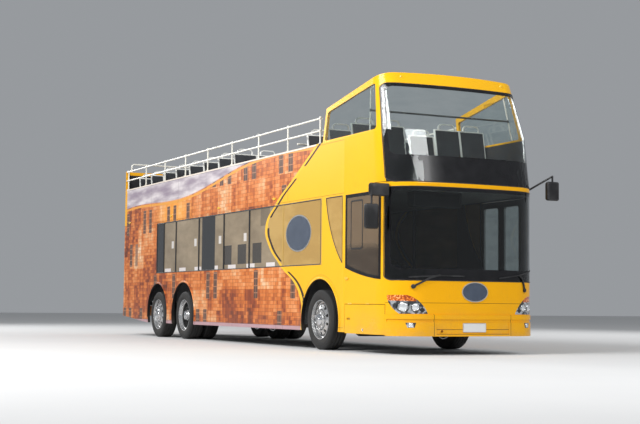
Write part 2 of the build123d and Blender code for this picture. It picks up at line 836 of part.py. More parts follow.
def drive_axle():
    """The driven axle: tube, banjo, brake drums, spindles, spring beams and the shaft to the engine."""
    x = drive_axle_x
    end = wheel_y + 50
    parts = [rod(x, -box_inner_y, box_inner_y, tyre_r, axle_tube_r), Pos(x, 0, tyre_r) * Sphere(banjo_r),
             rod(x, -end, end, tyre_r, spindle_r), *both_sides(rod(x, *drum_y, tyre_r, drum_r)),
             shaft(engine_x[1] + fit, x, 0, tyre_r, prop_r), *spring_beams(x)]
    return all_of(parts)


def tag_axle():
    """The trailing axle, cranked down in the middle to clear the drive shaft."""
    x = tag_axle_x
    end = wheel_y + 50
    foot = tyre_r - 58
    head = tyre_r + 58
    profile = panel((-box_inner_y, foot), (-box_inner_y, head), (-390, head), (-260, 385), (260, 385), (390, head),
                    (box_inner_y, head), (box_inner_y, foot), (360, foot), (230, 270), (-230, 270), (-360, foot))
    beam = along(profile, x - 55, x + 55)
    stubs = both_sides(rod(x, box_inner_y - 20, end, tyre_r, spindle_r))
    plates = both_sides(rod(x, box_inner_y, box_inner_y + 30, tyre_r, drum_r))
    return all_of([beam, *stubs, *plates, *spring_beams(x)])


def air_springs():
    """All bellows of the air suspension, each waisted between its two plates."""
    rear_x_set = [x + side * rear_spring_spread for x in (drive_axle_x, tag_axle_x) for side in (-1, 1)]
    places = [(front_axle_x, beam_z[1], rail_low_z[0], front_spring_r)]
    places += [(x, spring_beam_z[1], rail_high_z[0], rear_spring_r) for x in rear_x_set]
    return Compound([side for x, z0, z1, r in places
                     for side in both_sides(post(x, spring_y, z0 + fit, z1 - fit, r))])


# Wheels: half sections are drawn as distance outward from the wheel's middle and radius
disc_t = 16
flange_half = 128
seat_half = 119
bead_in = 24
hand_hole_r = 24
hand_hole_count = 10
hand_hole_ring = 205
crown_in = 28
widest_r = 384


def place_wheel(profile, y):
    """A wheel's half section turned about its own axle."""
    face = Plane((0, 0, 0), x_dir=(0, 1, 0), z_dir=(1, 0, 0)) * profile
    return Pos(0, y, tyre_r) * revolve(face, Axis.Y)


def tyre(y, hidden_wall=False):
    """A tyre: a bead between the rim's flanges and side walls that bulge out to sloped shoulders. An inner
    twin's hidden outer wall runs straight."""
    half = tyre_w / 2
    outer = [(half - bead_in, bead_r + fit), (half, widest_r), (half - crown_in, tyre_r)]
    inner = [(-x, r) for x, r in reversed(outer)]
    if hidden_wall:
        outer.pop(1)
    return place_wheel(panel(*outer, *inner), y)


def rim_barrel():
    """Half section of a rim's barrel with both flanges."""
    return panel((-flange_half, 288), (-flange_half, rim_r), (-seat_half, rim_r), (-seat_half, bead_r),
                 (-60, bead_r - 2), (-48, 264), (48, 264), (60, bead_r - 2), (seat_half, bead_r),
                 (seat_half, rim_r), (flange_half, rim_r), (flange_half, 288), (72, 272), (60, 250),
                 (-60, 250), (-72, 272))


def outward_disc():
    """Half section of the front and tag wheels' disc, which stands out to the hub."""
    bore = spindle_r + bore_clearance
    return panel((134, 0), (134, 90), (124, 104), (118, 125), (118, 170), (94, 236), (66, 252), (40, 252),
                 (76, 226), (100, 170), (95, 95), (-40, 95), (-40, bore), (60, bore), (60, 0))


def twin_disc_path():
    """The middle of the outer twin's dished disc, from the hub to the barrel."""
    face = twin_middle + disc_t / 2
    return (face, 100), (face, 168), (face + 14, 204), (-112, 238), (-58, 258)


def twin_discs():
    """Half sections of the twins' discs, bolted back to back."""
    path = twin_disc_path()
    return ribbon(path, disc_t), ribbon([(2 * twin_middle - x, r) for x, r in path], disc_t)


def twin_hub():
    """Half section of the drive hub, which stands out of the outer twin."""
    bore = spindle_r + bore_clearance
    return panel((80, 0), (80, 80), (60, 95), (twin_middle, 112), (-220, 112), (-220, bore), (60, bore), (60, 0))


def hand_holes(y):
    """The ring of round hand holes through a wheel's disc."""
    tool = Pos(0, y, tyre_r) * (Plane.XZ * extrude(Circle(hand_hole_r), 60, both=True))
    lifted = Pos(0, 0, hand_hole_ring - tyre_r) * tool
    return [Pos(0, 0, tyre_r) * (Rot(0, 360 * i / hand_hole_count, 0) * lifted) for i in range(hand_hole_count)]


def single_rim():
    """Rim of a front or tag wheel."""
    rim = place_wheel(rim_barrel(), wheel_y) + place_wheel(outward_disc(), wheel_y)
    return rim - hand_holes(wheel_y + 95)


def twin_rim():
    """Both rims of a drive wheel with their shared hub."""
    rim = place_wheel(rim_barrel(), wheel_y) + place_wheel(rim_barrel(), twin_y) + place_wheel(twin_hub(), wheel_y)
    for disc in twin_discs():
        rim += place_wheel(disc, wheel_y)
    return rim - hand_holes(wheel_y + twin_middle)


def knuckle():
    """A steering knuckle: fork round the beam's eye, kingpin, spindle and brake plate."""
    x = front_axle_x
    y0 = kingpin_y - fork_inner
    y1 = kingpin_y + 95
    top = (eye_z[1] + fork_gap, eye_z[1] + fork_gap + 48)
    foot = (eye_z[0] - fork_gap - 48, eye_z[0] - fork_gap)
    fork = block(x - fork_half, x + fork_half, y0, y1, *top)
    fork += block(x - fork_half, x + fork_half, y0, y1, *foot)
    fork += block(x - fork_half, x + fork_half, kingpin_y + eye_r + fork_gap + 2, y1, foot[0], top[1])
    fork += post(x, kingpin_y, foot[0] + 4, top[1] - 4, kingpin_r)
    fork += rod(x, kingpin_y + 90, kingpin_y + 125, tyre_r, 150)
    return fork + rod(x, kingpin_y + 90, wheel_y + 50, tyre_r, spindle_r)


# Seats: sizes, pitch and the places of each row
seat_pitch = 760
seat_w = 440
seat_pair_gap = 6
seat_depth = 430
seat_h = 430
seat_back_h = 560
seat_t = 38
seat_lean = 110
seat_shell_r = 26
seat_wall_gap = 45
seat_y = inner_y + fit - seat_wall_gap - 2 * seat_w - seat_pair_gap
loop_w = 300
loop_h = 95
loop_t = 22
loop_in = 6
upper_rows = 14
upper_first_x = front_x - 1000
saloon_left_x = (front_axle_x - 1100, front_axle_x - 1860, front_axle_x - 2620, front_axle_x - 3380)
saloon_right_x = (front_x - 5225, front_x - 5985)
box_seat_x = (drive_axle_x + 300, tag_axle_x + 700, tag_axle_x - 60)


def seat_pair(x, z):
    """Two seats side by side that face forward, with pedestal, frame and grab loops, on the left of the aisle."""
    top = z + seat_h + seat_back_h
    outline = panel((x, z + seat_h - 30), (x, z + seat_h), (x - seat_depth, z + seat_h - 20),
                    (x - seat_depth - seat_lean, top), (x - seat_depth - seat_lean - seat_t, top),
                    (x - seat_depth - seat_t, z + seat_h - 60))
    loop = Pos(0, top) * RectangleRounded(loop_w, 2 * loop_h, loop_h - loop_t)
    loop -= Pos(0, top) * RectangleRounded(loop_w - 2 * loop_t, 2 * loop_h - 2 * loop_t, loop_h - 2 * loop_t)
    loop_x = x - seat_depth - seat_lean - loop_in
    parts = []
    for y in (seat_y, seat_y + seat_w + seat_pair_gap):
        parts.append(across(round_near(outline, (x - seat_depth, z + seat_h - 20), seat_shell_r), y, y + seat_w))
        hoop = along(Pos(y + seat_w / 2, 0) * loop, loop_x - loop_t, loop_x)
        parts.append(hoop & block(loop_x - loop_t, loop_x, y, y + seat_w, top - loop_h / 2, top + loop_h))
    width = 2 * seat_w + seat_pair_gap
    parts.append(across(panel((x - 150, z + fit), (x - 150, z + seat_h - 40), (x - 340, z + seat_h - 45),
                              (x - 290, z + fit)), seat_y + 120, seat_y + width - 120))
    parts.append(block(x - 360, x - 120, seat_y + 10, seat_y + width - 10, z + seat_h - 70, z + seat_h - 28))
    return all_of(parts)


def placed_rows(places):
    """Copies of one seat pair at places along the bus and levels."""
    pair = seat_pair(0, 0)
    return [Pos(x, 0, z) * pair for x, z in places]


def upper_places():
    """The upper deck's rows."""
    return [(upper_first_x - i * seat_pitch, deck_z) for i in range(upper_rows)]


def upper_seats_left():
    """The upper deck's seats on the left."""
    return Compound(placed_rows(upper_places()))


def upper_seats_right():
    """The upper deck's seats on the right, which stop for the stairwell."""
    back = seat_depth + seat_lean + seat_t + loop_t
    clear = [(x, z) for x, z in upper_places()
             if x - back > stairwell_x[1] + 60 or x < stairwell_x[0] - guard_r - running_gap]
    return mirrored(Compound(placed_rows(clear)))


def saloon_places(low_x):
    """Rows on the low floor, then rows on the wheel boxes."""
    return [(x, low_floor_z) for x in low_x] + [(x, box_top_z) for x in box_seat_x]


def saloon_seats_left():
    """The saloon's seats on the left, on the floor and on the wheel boxes."""
    return Compound(placed_rows(saloon_places(saloon_left_x)))


def saloon_seats_right():
    """The saloon's seats on the right, behind the stair."""
    return mirrored(Compound(placed_rows(saloon_places(saloon_right_x))))


# Cab: driver's seat, dashboard, steering column and the partition behind the driver
cab_x = front_x - 1480
cab_y = -720
cab_seat_half = 240
cab_seat_z = low_floor_z + 400
knee_half = 260
knee_front_x = front_x - 300
desk_x = (front_x - 600, front_x)
partition_x = (front_x - 1675, front_x - 1650)
partition_y = -420
partition_top_z = 1990
partition_frame = 70
partition_glass_z = 1180


def driver_seat():
    """The driver's seat on its pedestal, with back and headrest."""
    y = (cab_y - cab_seat_half, cab_y + cab_seat_half)
    z = cab_seat_z
    pad = across(panel((cab_x - 30, z), (cab_x + 480, z + 20), (cab_x + 480, z + 80), (cab_x + 440, z + 110),
                       (cab_x + 40, z + 90), (cab_x - 30, z + 90)), *y)
    back = across(panel((cab_x - 60, z + 20), (cab_x + 60, z + 20), (cab_x - 50, z + 640),
                        (cab_x - 140, z + 640)), *y)
    head = across(panel((cab_x - 150, z + 630), (cab_x - 60, z + 630), (cab_x - 75, z + 820),
                        (cab_x - 140, z + 820)), cab_y - 130, cab_y + 130)
    foot = block(cab_x + 80, cab_x + 380, cab_y - 160, cab_y + 160, low_floor_z + fit, cab_seat_z + 10)
    return all_of([pad, back, head, foot])


column_foot = (front_x - 560, cab_y, 930)
column_tilt = 35
column_len = 130
column_r = 45
wheel_rim_r = 230
wheel_grip_r = 15


def column_frame(distance):
    """The plane square to the steering column at a distance up it."""
    tilt = math.radians(column_tilt)
    normal = (-math.sin(tilt), 0, math.cos(tilt))
    origin = tuple(a + distance * b for a, b in zip(column_foot, normal))
    return Plane(origin, x_dir=(math.cos(tilt), 0, math.sin(tilt)), z_dir=normal)


def dashboard():
    """The driver's desk under the windscreen, with its knee room and the steering column."""
    foot = low_floor_z + fit
    profile = panel((desk_x[0] + 60, foot), (desk_x[0], 900), (desk_x[0] + 35, 985), (desk_x[0] + 260, 1035),
                    (desk_x[1], 1000), (desk_x[1], foot))
    desk = across(profile, -side_y, 0) & nose_solid(0, deck_z, rear_x, wall_t + fit)
    desk -= block(desk_x[0] - over, knee_front_x, cab_y - knee_half, cab_y + knee_half, 0, 930)
    return desk + extrude(column_frame(0) * Circle(column_r), column_len)


def steering_wheel():
    """The steering wheel with its hub and three spokes."""
    at = column_frame(column_len + fit)
    hub = extrude(at * Circle(50), 40)
    ring = column_frame(column_len + 32) * Torus(wheel_rim_r, wheel_grip_r)
    bar = Pos(wheel_rim_r / 2, 0) * Rectangle(wheel_rim_r - 8, 34)
    spokes = [extrude(at.offset(18) * (Rot(0, 0, angle) * bar), 16) for angle in (0, 120, 240)]
    return hub + ring + spokes


def cab_partition():
    """The panel behind the driver, with its window cut out."""
    wall = block(*partition_x, -inner_y, partition_y, low_floor_z + fit, partition_top_z)
    frame = partition_frame
    window = block(partition_x[0] - over, partition_x[1] + over, frame - inner_y, partition_y - frame,
                   partition_glass_z, partition_top_z - frame)
    return wall - window


# Destination box under the ceiling behind the windscreen
blind_x = (front_x - 560, front_x - 375)
blind_y = (-770, 20)
blind_z = (2086, deck_z - deck_t - fit)
blind_t = 14


def destination_box():
    """The open-fronted box that holds the destination blind."""
    box = block(*blind_x, *blind_y, *blind_z)
    return box - block(blind_x[0] + blind_t, blind_x[1] + over, blind_y[0] + blind_t, blind_y[1] - blind_t,
                       blind_z[0] + blind_t, blind_z[1] - blind_t)


# Grab poles beside the saloon's aisle
pole_r = 17
pole_y = 292
pole_places = (
    # place along the bus, floor level
    (saloon_left_x[0] + 90, low_floor_z),
    (saloon_left_x[2] + 90, low_floor_z),
    (saloon_right_x[1] - 670, low_floor_z),
    (box_seat_x[0] + 90, high_floor_z),
    (box_seat_x[1] + 260, high_floor_z),
    (box_seat_x[2] + 90, high_floor_z),
)


def grab_poles():
    """Poles from the saloon's floor to its ceiling on both sides of the aisle."""
    ceiling = deck_z - deck_t - fit
    return Compound([side for x, z in pole_places for side in both_sides(post(x, pole_y, z + fit, ceiling, pole_r))])


# Handrails of the upper deck
rail_r = 16
post_r = 14
handrail_y = side_y - wall_t / 2
handrail_z = (rail_base_z + 202, rail_base_z + 394)
post_cap = 30
first_post_x = frame_rear_x - 137
last_post_x = tail_x + rear_corner_r + 110
post_count = 9
hoop_z = rail_base_z + 590
hoop_r = 60
hoop_x = tail_x + wall_t / 2
hoop_y = side_y - rear_corner_r - rail_r
pole_low = (front_x - 847, rail_base_z)
pole_high = (front_x - 990, header_corner_z)
front_pole_r = 12
pole_inset = 31
bar_share = 0.4
bar_r = 14


def handrails():
    """Side rails on their posts and the rear hoop."""
    pitch = (first_post_x - last_post_x) / (post_count - 1)
    tubes = [shaft(tail_x + rear_corner_r + fit, first_post_x, handrail_y, z, rail_r) for z in handrail_z]
    tubes += [post(first_post_x - i * pitch, handrail_y, rail_base_z + fit, handrail_z[1] + post_cap, post_r)
              for i in range(post_count)]
    side = all_of(tubes)
    foot_z = rear_wall_z + fit
    hoop = bent_tube([(hoop_x, -hoop_y, foot_z), (hoop_x, -hoop_y, hoop_z), (hoop_x, hoop_y, hoop_z),
                      (hoop_x, hoop_y, foot_z)], hoop_r, rail_r)
    return Compound([*both_sides(side), hoop])


def pole_point(share):
    """A point on the right front pole's middle line, at a share of the way up its side frame."""
    x = pole_low[0] + share * (pole_high[0] - pole_low[0])
    z = pole_low[1] + share * (pole_high[1] - pole_low[1])
    rise = (z - rail_base_z) / (header_z - rail_base_z)
    return x, pole_inset + rise * header_inset - side_y, z


def front_rail():
    """The two slim poles inside the side frames and the bar across between them."""
    pole = straight_tube(pole_point(0), pole_point(1), front_pole_r)
    pole = pole & across(side_frame_glass(fit), -side_y, 0)
    x, y, z = pole_point(bar_share)
    return all_of([*both_sides(pole), rod(x, y, -y, z, bar_r)])


def tail_lamps():
    """The round lamps in the rear wall."""
    return Compound(tail_lamp_set(0, wall_t))


# Mirrors: arms and rounded heads
mirror_reach = 1560
mirror_w = 210
mirror_t = 70
mirror_r = 28
arm_r = 14
mirror_right_x = front_x - 365
mirror_left_x = front_x - 155
mirror_right_z = (deck_z - 650, deck_z - 300)
mirror_left_z = (deck_z - 150, deck_z + 130)


def tube_arm(*points):
    """A bent round arm through points, with round elbows."""
    parts = []
    for start, end in zip(points, points[1:]):
        parts += [straight_tube(start, end, arm_r), Pos(*end) * Sphere(arm_r)]
    return all_of(parts)


def mirror_head(x, z0, z1):
    """One mirror's rounded case, on the left."""
    case = block(x - mirror_t / 2, x + mirror_t / 2, mirror_reach - mirror_w, mirror_reach, z0, z1)
    return fillet(case.edges(), mirror_r)


def mirrors():
    """The two door mirrors on their arms, with the heads facing back."""
    centre = mirror_reach - mirror_w / 2
    right = mirror_head(mirror_right_x, *mirror_right_z)
    right += tube_arm((mirror_right_x, side_y - 100, deck_z - 80), (mirror_right_x, centre, deck_z - 80),
                      (mirror_right_x, centre, mirror_right_z[1] - 10))
    left = mirror_head(mirror_left_x, *mirror_left_z)
    left += tube_arm((mirror_left_x - 315, side_y - 70, deck_z - 20), (mirror_left_x, centre, deck_z + 210),
                     (mirror_left_x, centre, mirror_left_z[1] - 10))
    body = nose_solid(skirt_z, deck_z, rear_x, -fit) + leaning_solid(0, 1, rear_x, -fit)
    return Compound([mirrored(right) - body, left - body])


# Wipers, drawn from ahead: hub, arm and blade of each
wiper_right = (((-930, 950), (-832, 1002), (-697, 1072), (-540, 1112)), ((-985, 1078), (-540, 1104), (-160, 1100)))
wiper_left = (((910, 920), (884, 1002), (857, 1084), (800, 1122)), ((1085, 1205), (800, 1130), (430, 1080)))
wiper_hub_r = 26
wiper_arm_w = 16
wiper_blade_w = 12
wiper_lift = 24
wiper_band_z = (850, 1300)


def face_strip(path, width, near, far):
    """A strip that follows the front face between two distances off it, drawn from ahead."""
    skin = nose_shell(wiper_band_z[0], wiper_band_z[1], lower_split_left_x, outer=-far, inner=-near)
    return skin & along(ribbon(path, width), front_x - nose_reach, front_x + wiper_lift)


def wiper(arm, blade):
    """One wiper: its hub, its arm and its blade."""
    skin = nose_shell(*wiper_band_z, lower_split_left_x, outer=-wiper_lift, inner=-fit)
    hub = skin & along(Pos(*arm[0]) * Circle(wiper_hub_r), front_x - nose_reach, front_x + wiper_lift)
    return all_of([hub, face_strip(arm, wiper_arm_w, 10, 20), face_strip(blade, wiper_blade_w, fit, 14)])


def wipers():
    """The two windscreen wipers at rest along the windscreen's foot."""
    return Compound([wiper(*wiper_right), wiper(*wiper_left)])


# Door leaves
leaf_gap = 6
leaf_meeting_gap = 8
leaf_w = (door_x[1] - door_x[0] - leaf_meeting_gap) / 2 - leaf_gap
leaf_glass_z = (650, 2190)
leaf_frame = 70
leaf_r = 50


def leaf_span(front):
    """Where one door leaf starts and ends along the bus."""
    if front:
        return door_x[1] - leaf_gap - leaf_w, door_x[1] - leaf_gap
    return door_x[0] + leaf_gap, door_x[0] + leaf_gap + leaf_w


def leaf_pane(front, gap=0):
    """The glass outline of one leaf."""
    x0, x1 = leaf_span(front)
    return rounded(x0 + leaf_frame + gap, x1 - leaf_frame - gap, leaf_glass_z[0] + gap, leaf_glass_z[1] - gap,
                   leaf_r)


def door_leaf(front):
    """One leaf of the entrance door, with its hinge barrels and an inner grab bar."""
    x0, x1 = leaf_span(front)
    leaf = across(panel((x0, door_z[0]), (x1, door_z[0]), (x1, door_z[1] - leaf_gap), (x0, door_z[1] - leaf_gap))
                  - leaf_pane(front), side_y - door_t, side_y)
    return with_moving_barrels(leaf, *(door_front_hinge if front else door_rear_hinge))


def door_glass(front):
    """The glass of one leaf."""
    middle = side_y - door_t / 2
    return across(leaf_pane(front, fit), middle - glass_t / 2, middle + glass_t / 2)


# Engine lid with its louvres
louvre_in = 20
louvre_out = 560
louvre_z = (700, 1120)
louvre_pitch = 60
louvre_h = 26


def engine_lid():
    """The engine lid with its hinge barrels and rows of louvres."""
    lid = along(lid_outline(), tail_x, tail_x + lid_t)
    for z in range(*louvre_z, louvre_pitch):
        slot = rounded(louvre_in, louvre_out, z, z + louvre_h, louvre_h / 2 - over)
        for cut in both_sides(along(slot, tail_x - over, tail_x + lid_t + over)):
            lid -= cut
    return with_moving_barrels(lid, *lid_hinge)


def wheel_at(shape, x, left):
    """A wheel piece moved to its axle and side."""
    placed = Pos(x, 0, 0) * shape
    return placed if left else mirrored(placed)


nodes = {
    "lower_front": lower_front(),
    "front_bumper": front_bumper(),
    "rear_bumper": rear_bumper(),
    "service_flap": service_flap(),
    "body_side_right": body_side(False),
    "body_side_left": body_side(True),
    "rear_end": rear_end(),
    "upper_front_frame": upper_front(),
    "upper_glass": upper_glass(),
    "windscreen": lower_windscreen(),
    "saloon_glass": saloon_glass(),
    "lower_floor": lower_floor(),
    "wheel_boxes": wheel_boxes(),
    "upper_floor": upper_floor(),
    "stairs": stairs(),
    "stair_guard": stair_guard(),
    "chassis_frame": chassis_frame(),
    "engine_block": engine_block(),
    "front_axle": front_axle(),
    "drive_axle": drive_axle(),
    "tag_axle": tag_axle(),
    "air_springs": air_springs(),
    "knuckle_left": knuckle(),
    "knuckle_right": mirrored(knuckle()),
    "upper_seats_left": upper_seats_left(),
    "upper_seats_right": upper_seats_right(),
    "saloon_seats_left": saloon_seats_left(),
    "saloon_seats_right": saloon_seats_right(),
    "driver_seat": driver_seat(),
    "dashboard": dashboard(),
    "cab_partition": cab_partition(),
    "destination_box": destination_box(),
    "grab_poles": grab_poles(),
    "steering_wheel": steering_wheel(),
    "handrails": handrails(),
    "front_rail": front_rail(),
    "headlamps": headlamps(),
    "tail_lamps": tail_lamps(),
    "mirrors": mirrors(),
    "wipers": wipers(),
    "door_leaf_front": door_leaf(True),
    "door_leaf_rear": door_leaf(False),
    "door_glass_front": door_glass(True),
    "door_glass_rear": door_glass(False),
    "engine_lid": engine_lid(),
}

front_tyre = tyre(wheel_y)
twin_tyres = Compound([tyre(wheel_y), tyre(twin_y, hidden_wall=True)])
front_rim = single_rim()
drive_rim = twin_rim()
wheel_table = (
    # name, axle, tyre, rim
    ("front", front_axle_x, front_tyre, front_rim),
    ("drive", drive_axle_x, twin_tyres, drive_rim),
    ("tag", tag_axle_x, front_tyre, front_rim),
)
for name, x, tyre_shape, rim_shape in wheel_table:
    for side in ("left", "right"):
        nodes[f"tyre_{name}_{side}"] = wheel_at(tyre_shape, x, side == "left")
        nodes[f"rim_{name}_{side}"] = wheel_at(rim_shape, x, side == "left")

os.makedirs("parts", exist_ok=True)
for name, shape in nodes.items():
    if isinstance(shape, (list, ShapeList)):
        shape = Compound(list(shape))
    export_step(shape, f"parts/{name}.step")
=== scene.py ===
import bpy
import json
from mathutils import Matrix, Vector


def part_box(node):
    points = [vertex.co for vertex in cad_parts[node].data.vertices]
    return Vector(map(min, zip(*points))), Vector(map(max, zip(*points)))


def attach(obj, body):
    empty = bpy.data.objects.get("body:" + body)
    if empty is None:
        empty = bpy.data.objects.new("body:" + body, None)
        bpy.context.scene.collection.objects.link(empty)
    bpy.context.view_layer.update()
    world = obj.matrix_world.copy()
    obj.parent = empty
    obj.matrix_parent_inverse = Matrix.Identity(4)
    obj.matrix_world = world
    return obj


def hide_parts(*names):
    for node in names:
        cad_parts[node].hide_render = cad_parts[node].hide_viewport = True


bl_info = {
    "name": "Open top double decker bus",
    "version": (1, 0, 0),
    "blender": (4, 5, 0),
    "location": "View3D > Sidebar > Bus",
    "description": "Finishes the open top double decker bus's CAD model and sets its studio",
    "category": "Object",
}

import json
import math

import bmesh
import bpy
import numpy as np
from mathutils import Matrix, Vector

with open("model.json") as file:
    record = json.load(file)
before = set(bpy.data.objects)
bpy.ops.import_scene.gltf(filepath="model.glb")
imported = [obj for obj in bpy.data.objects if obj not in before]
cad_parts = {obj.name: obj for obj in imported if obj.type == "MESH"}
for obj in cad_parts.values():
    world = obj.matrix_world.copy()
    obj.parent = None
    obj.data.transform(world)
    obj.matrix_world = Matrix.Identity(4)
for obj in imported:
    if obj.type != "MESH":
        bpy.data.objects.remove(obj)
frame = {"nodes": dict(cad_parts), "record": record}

WELD = 1e-5
SIDES = ((1, "left"), (-1, "right"))

# The photograph's camera, in metres and degrees in the bus's frame
CAMERA_PLACE = (21.556, -10.028, 0.687)
CAMERA_TURN = (26.22, 4.07, 0.55)
CAMERA_LENS = 73.15
CAMERA_SENSOR = 36.0

# Places taken from the frame, in metres
TAIL_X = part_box("rear_end")[0].x
NOSE_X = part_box("front_bumper")[1].x
SIDE_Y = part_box("body_side_left")[1].y
SKIRT_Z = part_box("body_side_left")[0].z
WAIST_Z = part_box("body_side_left")[1].z
DECK_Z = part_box("upper_floor")[1].z
HEADER_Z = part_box("upper_front_frame")[1].z
TYRE_LOW, TYRE_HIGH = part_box("tyre_front_left")
TYRE_R = (TYRE_HIGH.z - TYRE_LOW.z) / 2
TYRE_HALF = (TYRE_HIGH.y - TYRE_LOW.y) / 2
WHEEL_Y = (TYRE_HIGH.y + TYRE_LOW.y) / 2
TWIN_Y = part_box("tyre_drive_left")[0].y + TYRE_HALF
AXLES = {name: sum(corner.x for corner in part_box(f"tyre_{name}_left")) / 2 for name in ("front", "drive", "tag")}

# The nose's plan: a bowed face between two round corners
COWL_SET_BACK = 0.02
NOSE_BOW_R = 6.4
NOSE_CORNER_R = 0.56
COWL_X = NOSE_X - COWL_SET_BACK

# The front face: how far the tip leans back, the half width and the corner radius at each level
FACE_LEVELS = (DECK_Z, WAIST_Z, HEADER_Z)
FACE_LEAN = (0.0, 0.21, 0.575)
FACE_HALF = (SIDE_Y, SIDE_Y, SIDE_Y - 0.1)
FACE_CORNER_R = (NOSE_CORNER_R, 0.42, 0.25)


# ---- Shapes: arrays of points and faces ----


def grid_faces(rows, columns, wrap_rows=False, wrap_columns=False):
    """Quads of a grid of points numbered row by row, joined round where a direction wraps."""
    i = np.arange(rows if wrap_rows else rows - 1)
    j = np.arange(columns if wrap_columns else columns - 1)
    i, j = np.meshgrid(i, j, indexing="ij")
    ni, nj = (i + 1) % rows, (j + 1) % columns
    return np.stack([i * columns + j, i * columns + nj, ni * columns + nj, ni * columns + j], -1).reshape(-1, 4)


def surface(points, wrap_rows=False, wrap_columns=False):
    """A grid of points as (points, quads)."""
    points = np.asarray(points, float)
    return points.reshape(-1, 3), grid_faces(*points.shape[:2], wrap_rows, wrap_columns)


def xyz(x, y, z):
    """Points from their three coordinates, each an array or one value for all."""
    return np.stack(np.broadcast_arrays(x, y, z), -1)


def joined(shapes):
    """Several (points, quads) shapes as one."""
    points, faces = zip(*shapes)
    starts = np.cumsum([0, *map(len, points[:-1])])
    return np.concatenate(points), np.concatenate([some + start for some, start in zip(faces, starts)])


def moved(shape, by):
    """A shape moved by a vector."""
    return shape[0] + np.asarray(by, float), shape[1]


def flipped(shape):
    """A shape mirrored across the bus, with its faces turned so that they still point outwards."""
    return shape[0] * (1, -1, 1), shape[1][:, ::-1]


def turned_about(shape, angle, axis):
    """A shape turned about one of the frame's axes by an angle in degrees."""
    turn = np.array(Matrix.Rotation(math.radians(angle), 3, axis))
    return shape[0] @ turn.T, shape[1]


def aimed(shape, at, direction):
    """A shape made along X, turned towards a direction and set at a place."""
    turn = np.array(Vector((1, 0, 0)).rotation_difference(Vector(direction)).to_matrix())
    return moved((shape[0] @ turn.T, shape[1]), at)


def add_piece(name, shape, finish, body="bus", smooth=30):
    """A mesh object from (points, quads) in a finish, riding on a body. Points that meet, as at
    a pole, are welded, and the faces are turned outwards. Edges under the smooth angle are shaded round."""
    points, faces = shape
    mesh = bpy.data.meshes.new(name)
    mesh.from_pydata(points.tolist(), [], faces.tolist())
    solid = bmesh.new()
    solid.from_mesh(mesh)
    bmesh.ops.remove_doubles(solid, verts=solid.verts, dist=WELD)
    bmesh.ops.recalc_face_normals(solid, faces=solid.faces)
    solid.to_mesh(mesh)
    solid.free()
    mesh.materials.append(MADE[finish])
    mesh.update()
    mesh.shade_smooth()
    if smooth < 180:
        mesh.set_sharp_from_angle(angle=math.radians(smooth))
    obj = bpy.data.objects.new(name, mesh)
    bpy.context.scene.collection.objects.link(obj)
    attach(obj, body)
    return obj


def turned(profile, segments, axis="y", closed=False):
    """A profile of (distance along the axis, radius) turned round an axle: each point runs round a circle
    of its radius, and a radius of nothing closes the end. A closed profile is joined round to its start."""
    profile = np.asarray(profile, float)
    angle = np.linspace(0, 2 * np.pi, segments, endpoint=False)
    along = np.repeat(profile[:, :1], segments, 1)
    across, up = profile[:, 1:] * np.cos(angle), profile[:, 1:] * np.sin(angle)
    order = {"x": (along, across, up), "y": (up, along, across), "z": (across, up, along)}[axis]
    return surface(np.stack(order, -1), wrap_rows=closed, wrap_columns=True)


def swept(path, section, closed=False, up=(0, 0, 1)):
    """A section of (sideways, upwards) points carried along a path: at each path point the section stands
    square to the path's direction, sideways being the direction crossed with up."""
    path, section = np.asarray(path, float), np.asarray(section, float)
    run = np.roll(path, -1, 0) - np.roll(path, 1, 0) if closed else np.gradient(path, axis=0)
    run /= np.linalg.norm(run, axis=1, keepdims=True)
    side = np.cross(run, np.broadcast_to(np.asarray(up, float), path.shape))
    side /= np.linalg.norm(side, axis=1, keepdims=True)
    top = np.cross(side, run)
    points = path[:, None] + side[:, None] * section[None, :, :1] + top[:, None] * section[None, :, 1:]
    return surface(points, wrap_rows=closed, wrap_columns=True)


def capped(shape, rows, columns):
    """A swept tube's shape with its two ends closed onto their middle points."""
    points, faces = shape
    ends = points.reshape(rows, columns, 3)[[0, -1]].mean(1)
    n = len(points)
    j = np.arange(columns)
    nj = (j + 1) % columns
    last = (rows - 1) * columns
    start = np.stack([j, np.full(columns, n), np.full(columns, n), nj], -1)
    end = np.stack([last + nj, np.full(columns, n + 1), np.full(columns, n + 1), last + j], -1)
    return np.concatenate([points, ends]), np.concatenate([faces, start, end])


def bar(path, section, up=(1, 0, 0)):
    """A bar of any section along a path, with closed ends."""
    return capped(swept(path, section, up=up), len(path), len(section))


def round_section(radius, count=8):
    """A round section for a sweep."""
    angle = np.linspace(0, 2 * np.pi, count, endpoint=False)
    return np.stack([radius * np.cos(angle), radius * np.sin(angle)], -1)


def tube(path, radius):
    """A round bar along a path, with closed ends."""
    level = abs(path[1][2] - path[0][2]) < 1e-3
    return bar(path, round_section(radius), (0, 0, 1) if level else (1, 0.01, 0))


def dome(at, direction, radius, bulge, rings=8, segments=28, rim=0.004):
    """A lens: a shallow cap turned about a direction, with a short straight rim behind it, closed behind."""
    turn = np.linspace(0, np.pi / 2, rings)
    profile = [(-rim, 0.0), (-rim, radius)] + [(bulge * math.sin(a), radius * math.cos(a)) for a in turn]
    profile[-1] = (bulge, 0.0)
    return aimed(turned(profile, segments, "x"), at, direction)


def ring(at, direction, radius, thick, segments=32):
    """A round bezel: a circle of round section about a direction."""
    return aimed(turned(round_section(thick) + (0.0, radius), segments, "x", closed=True), at, direction)


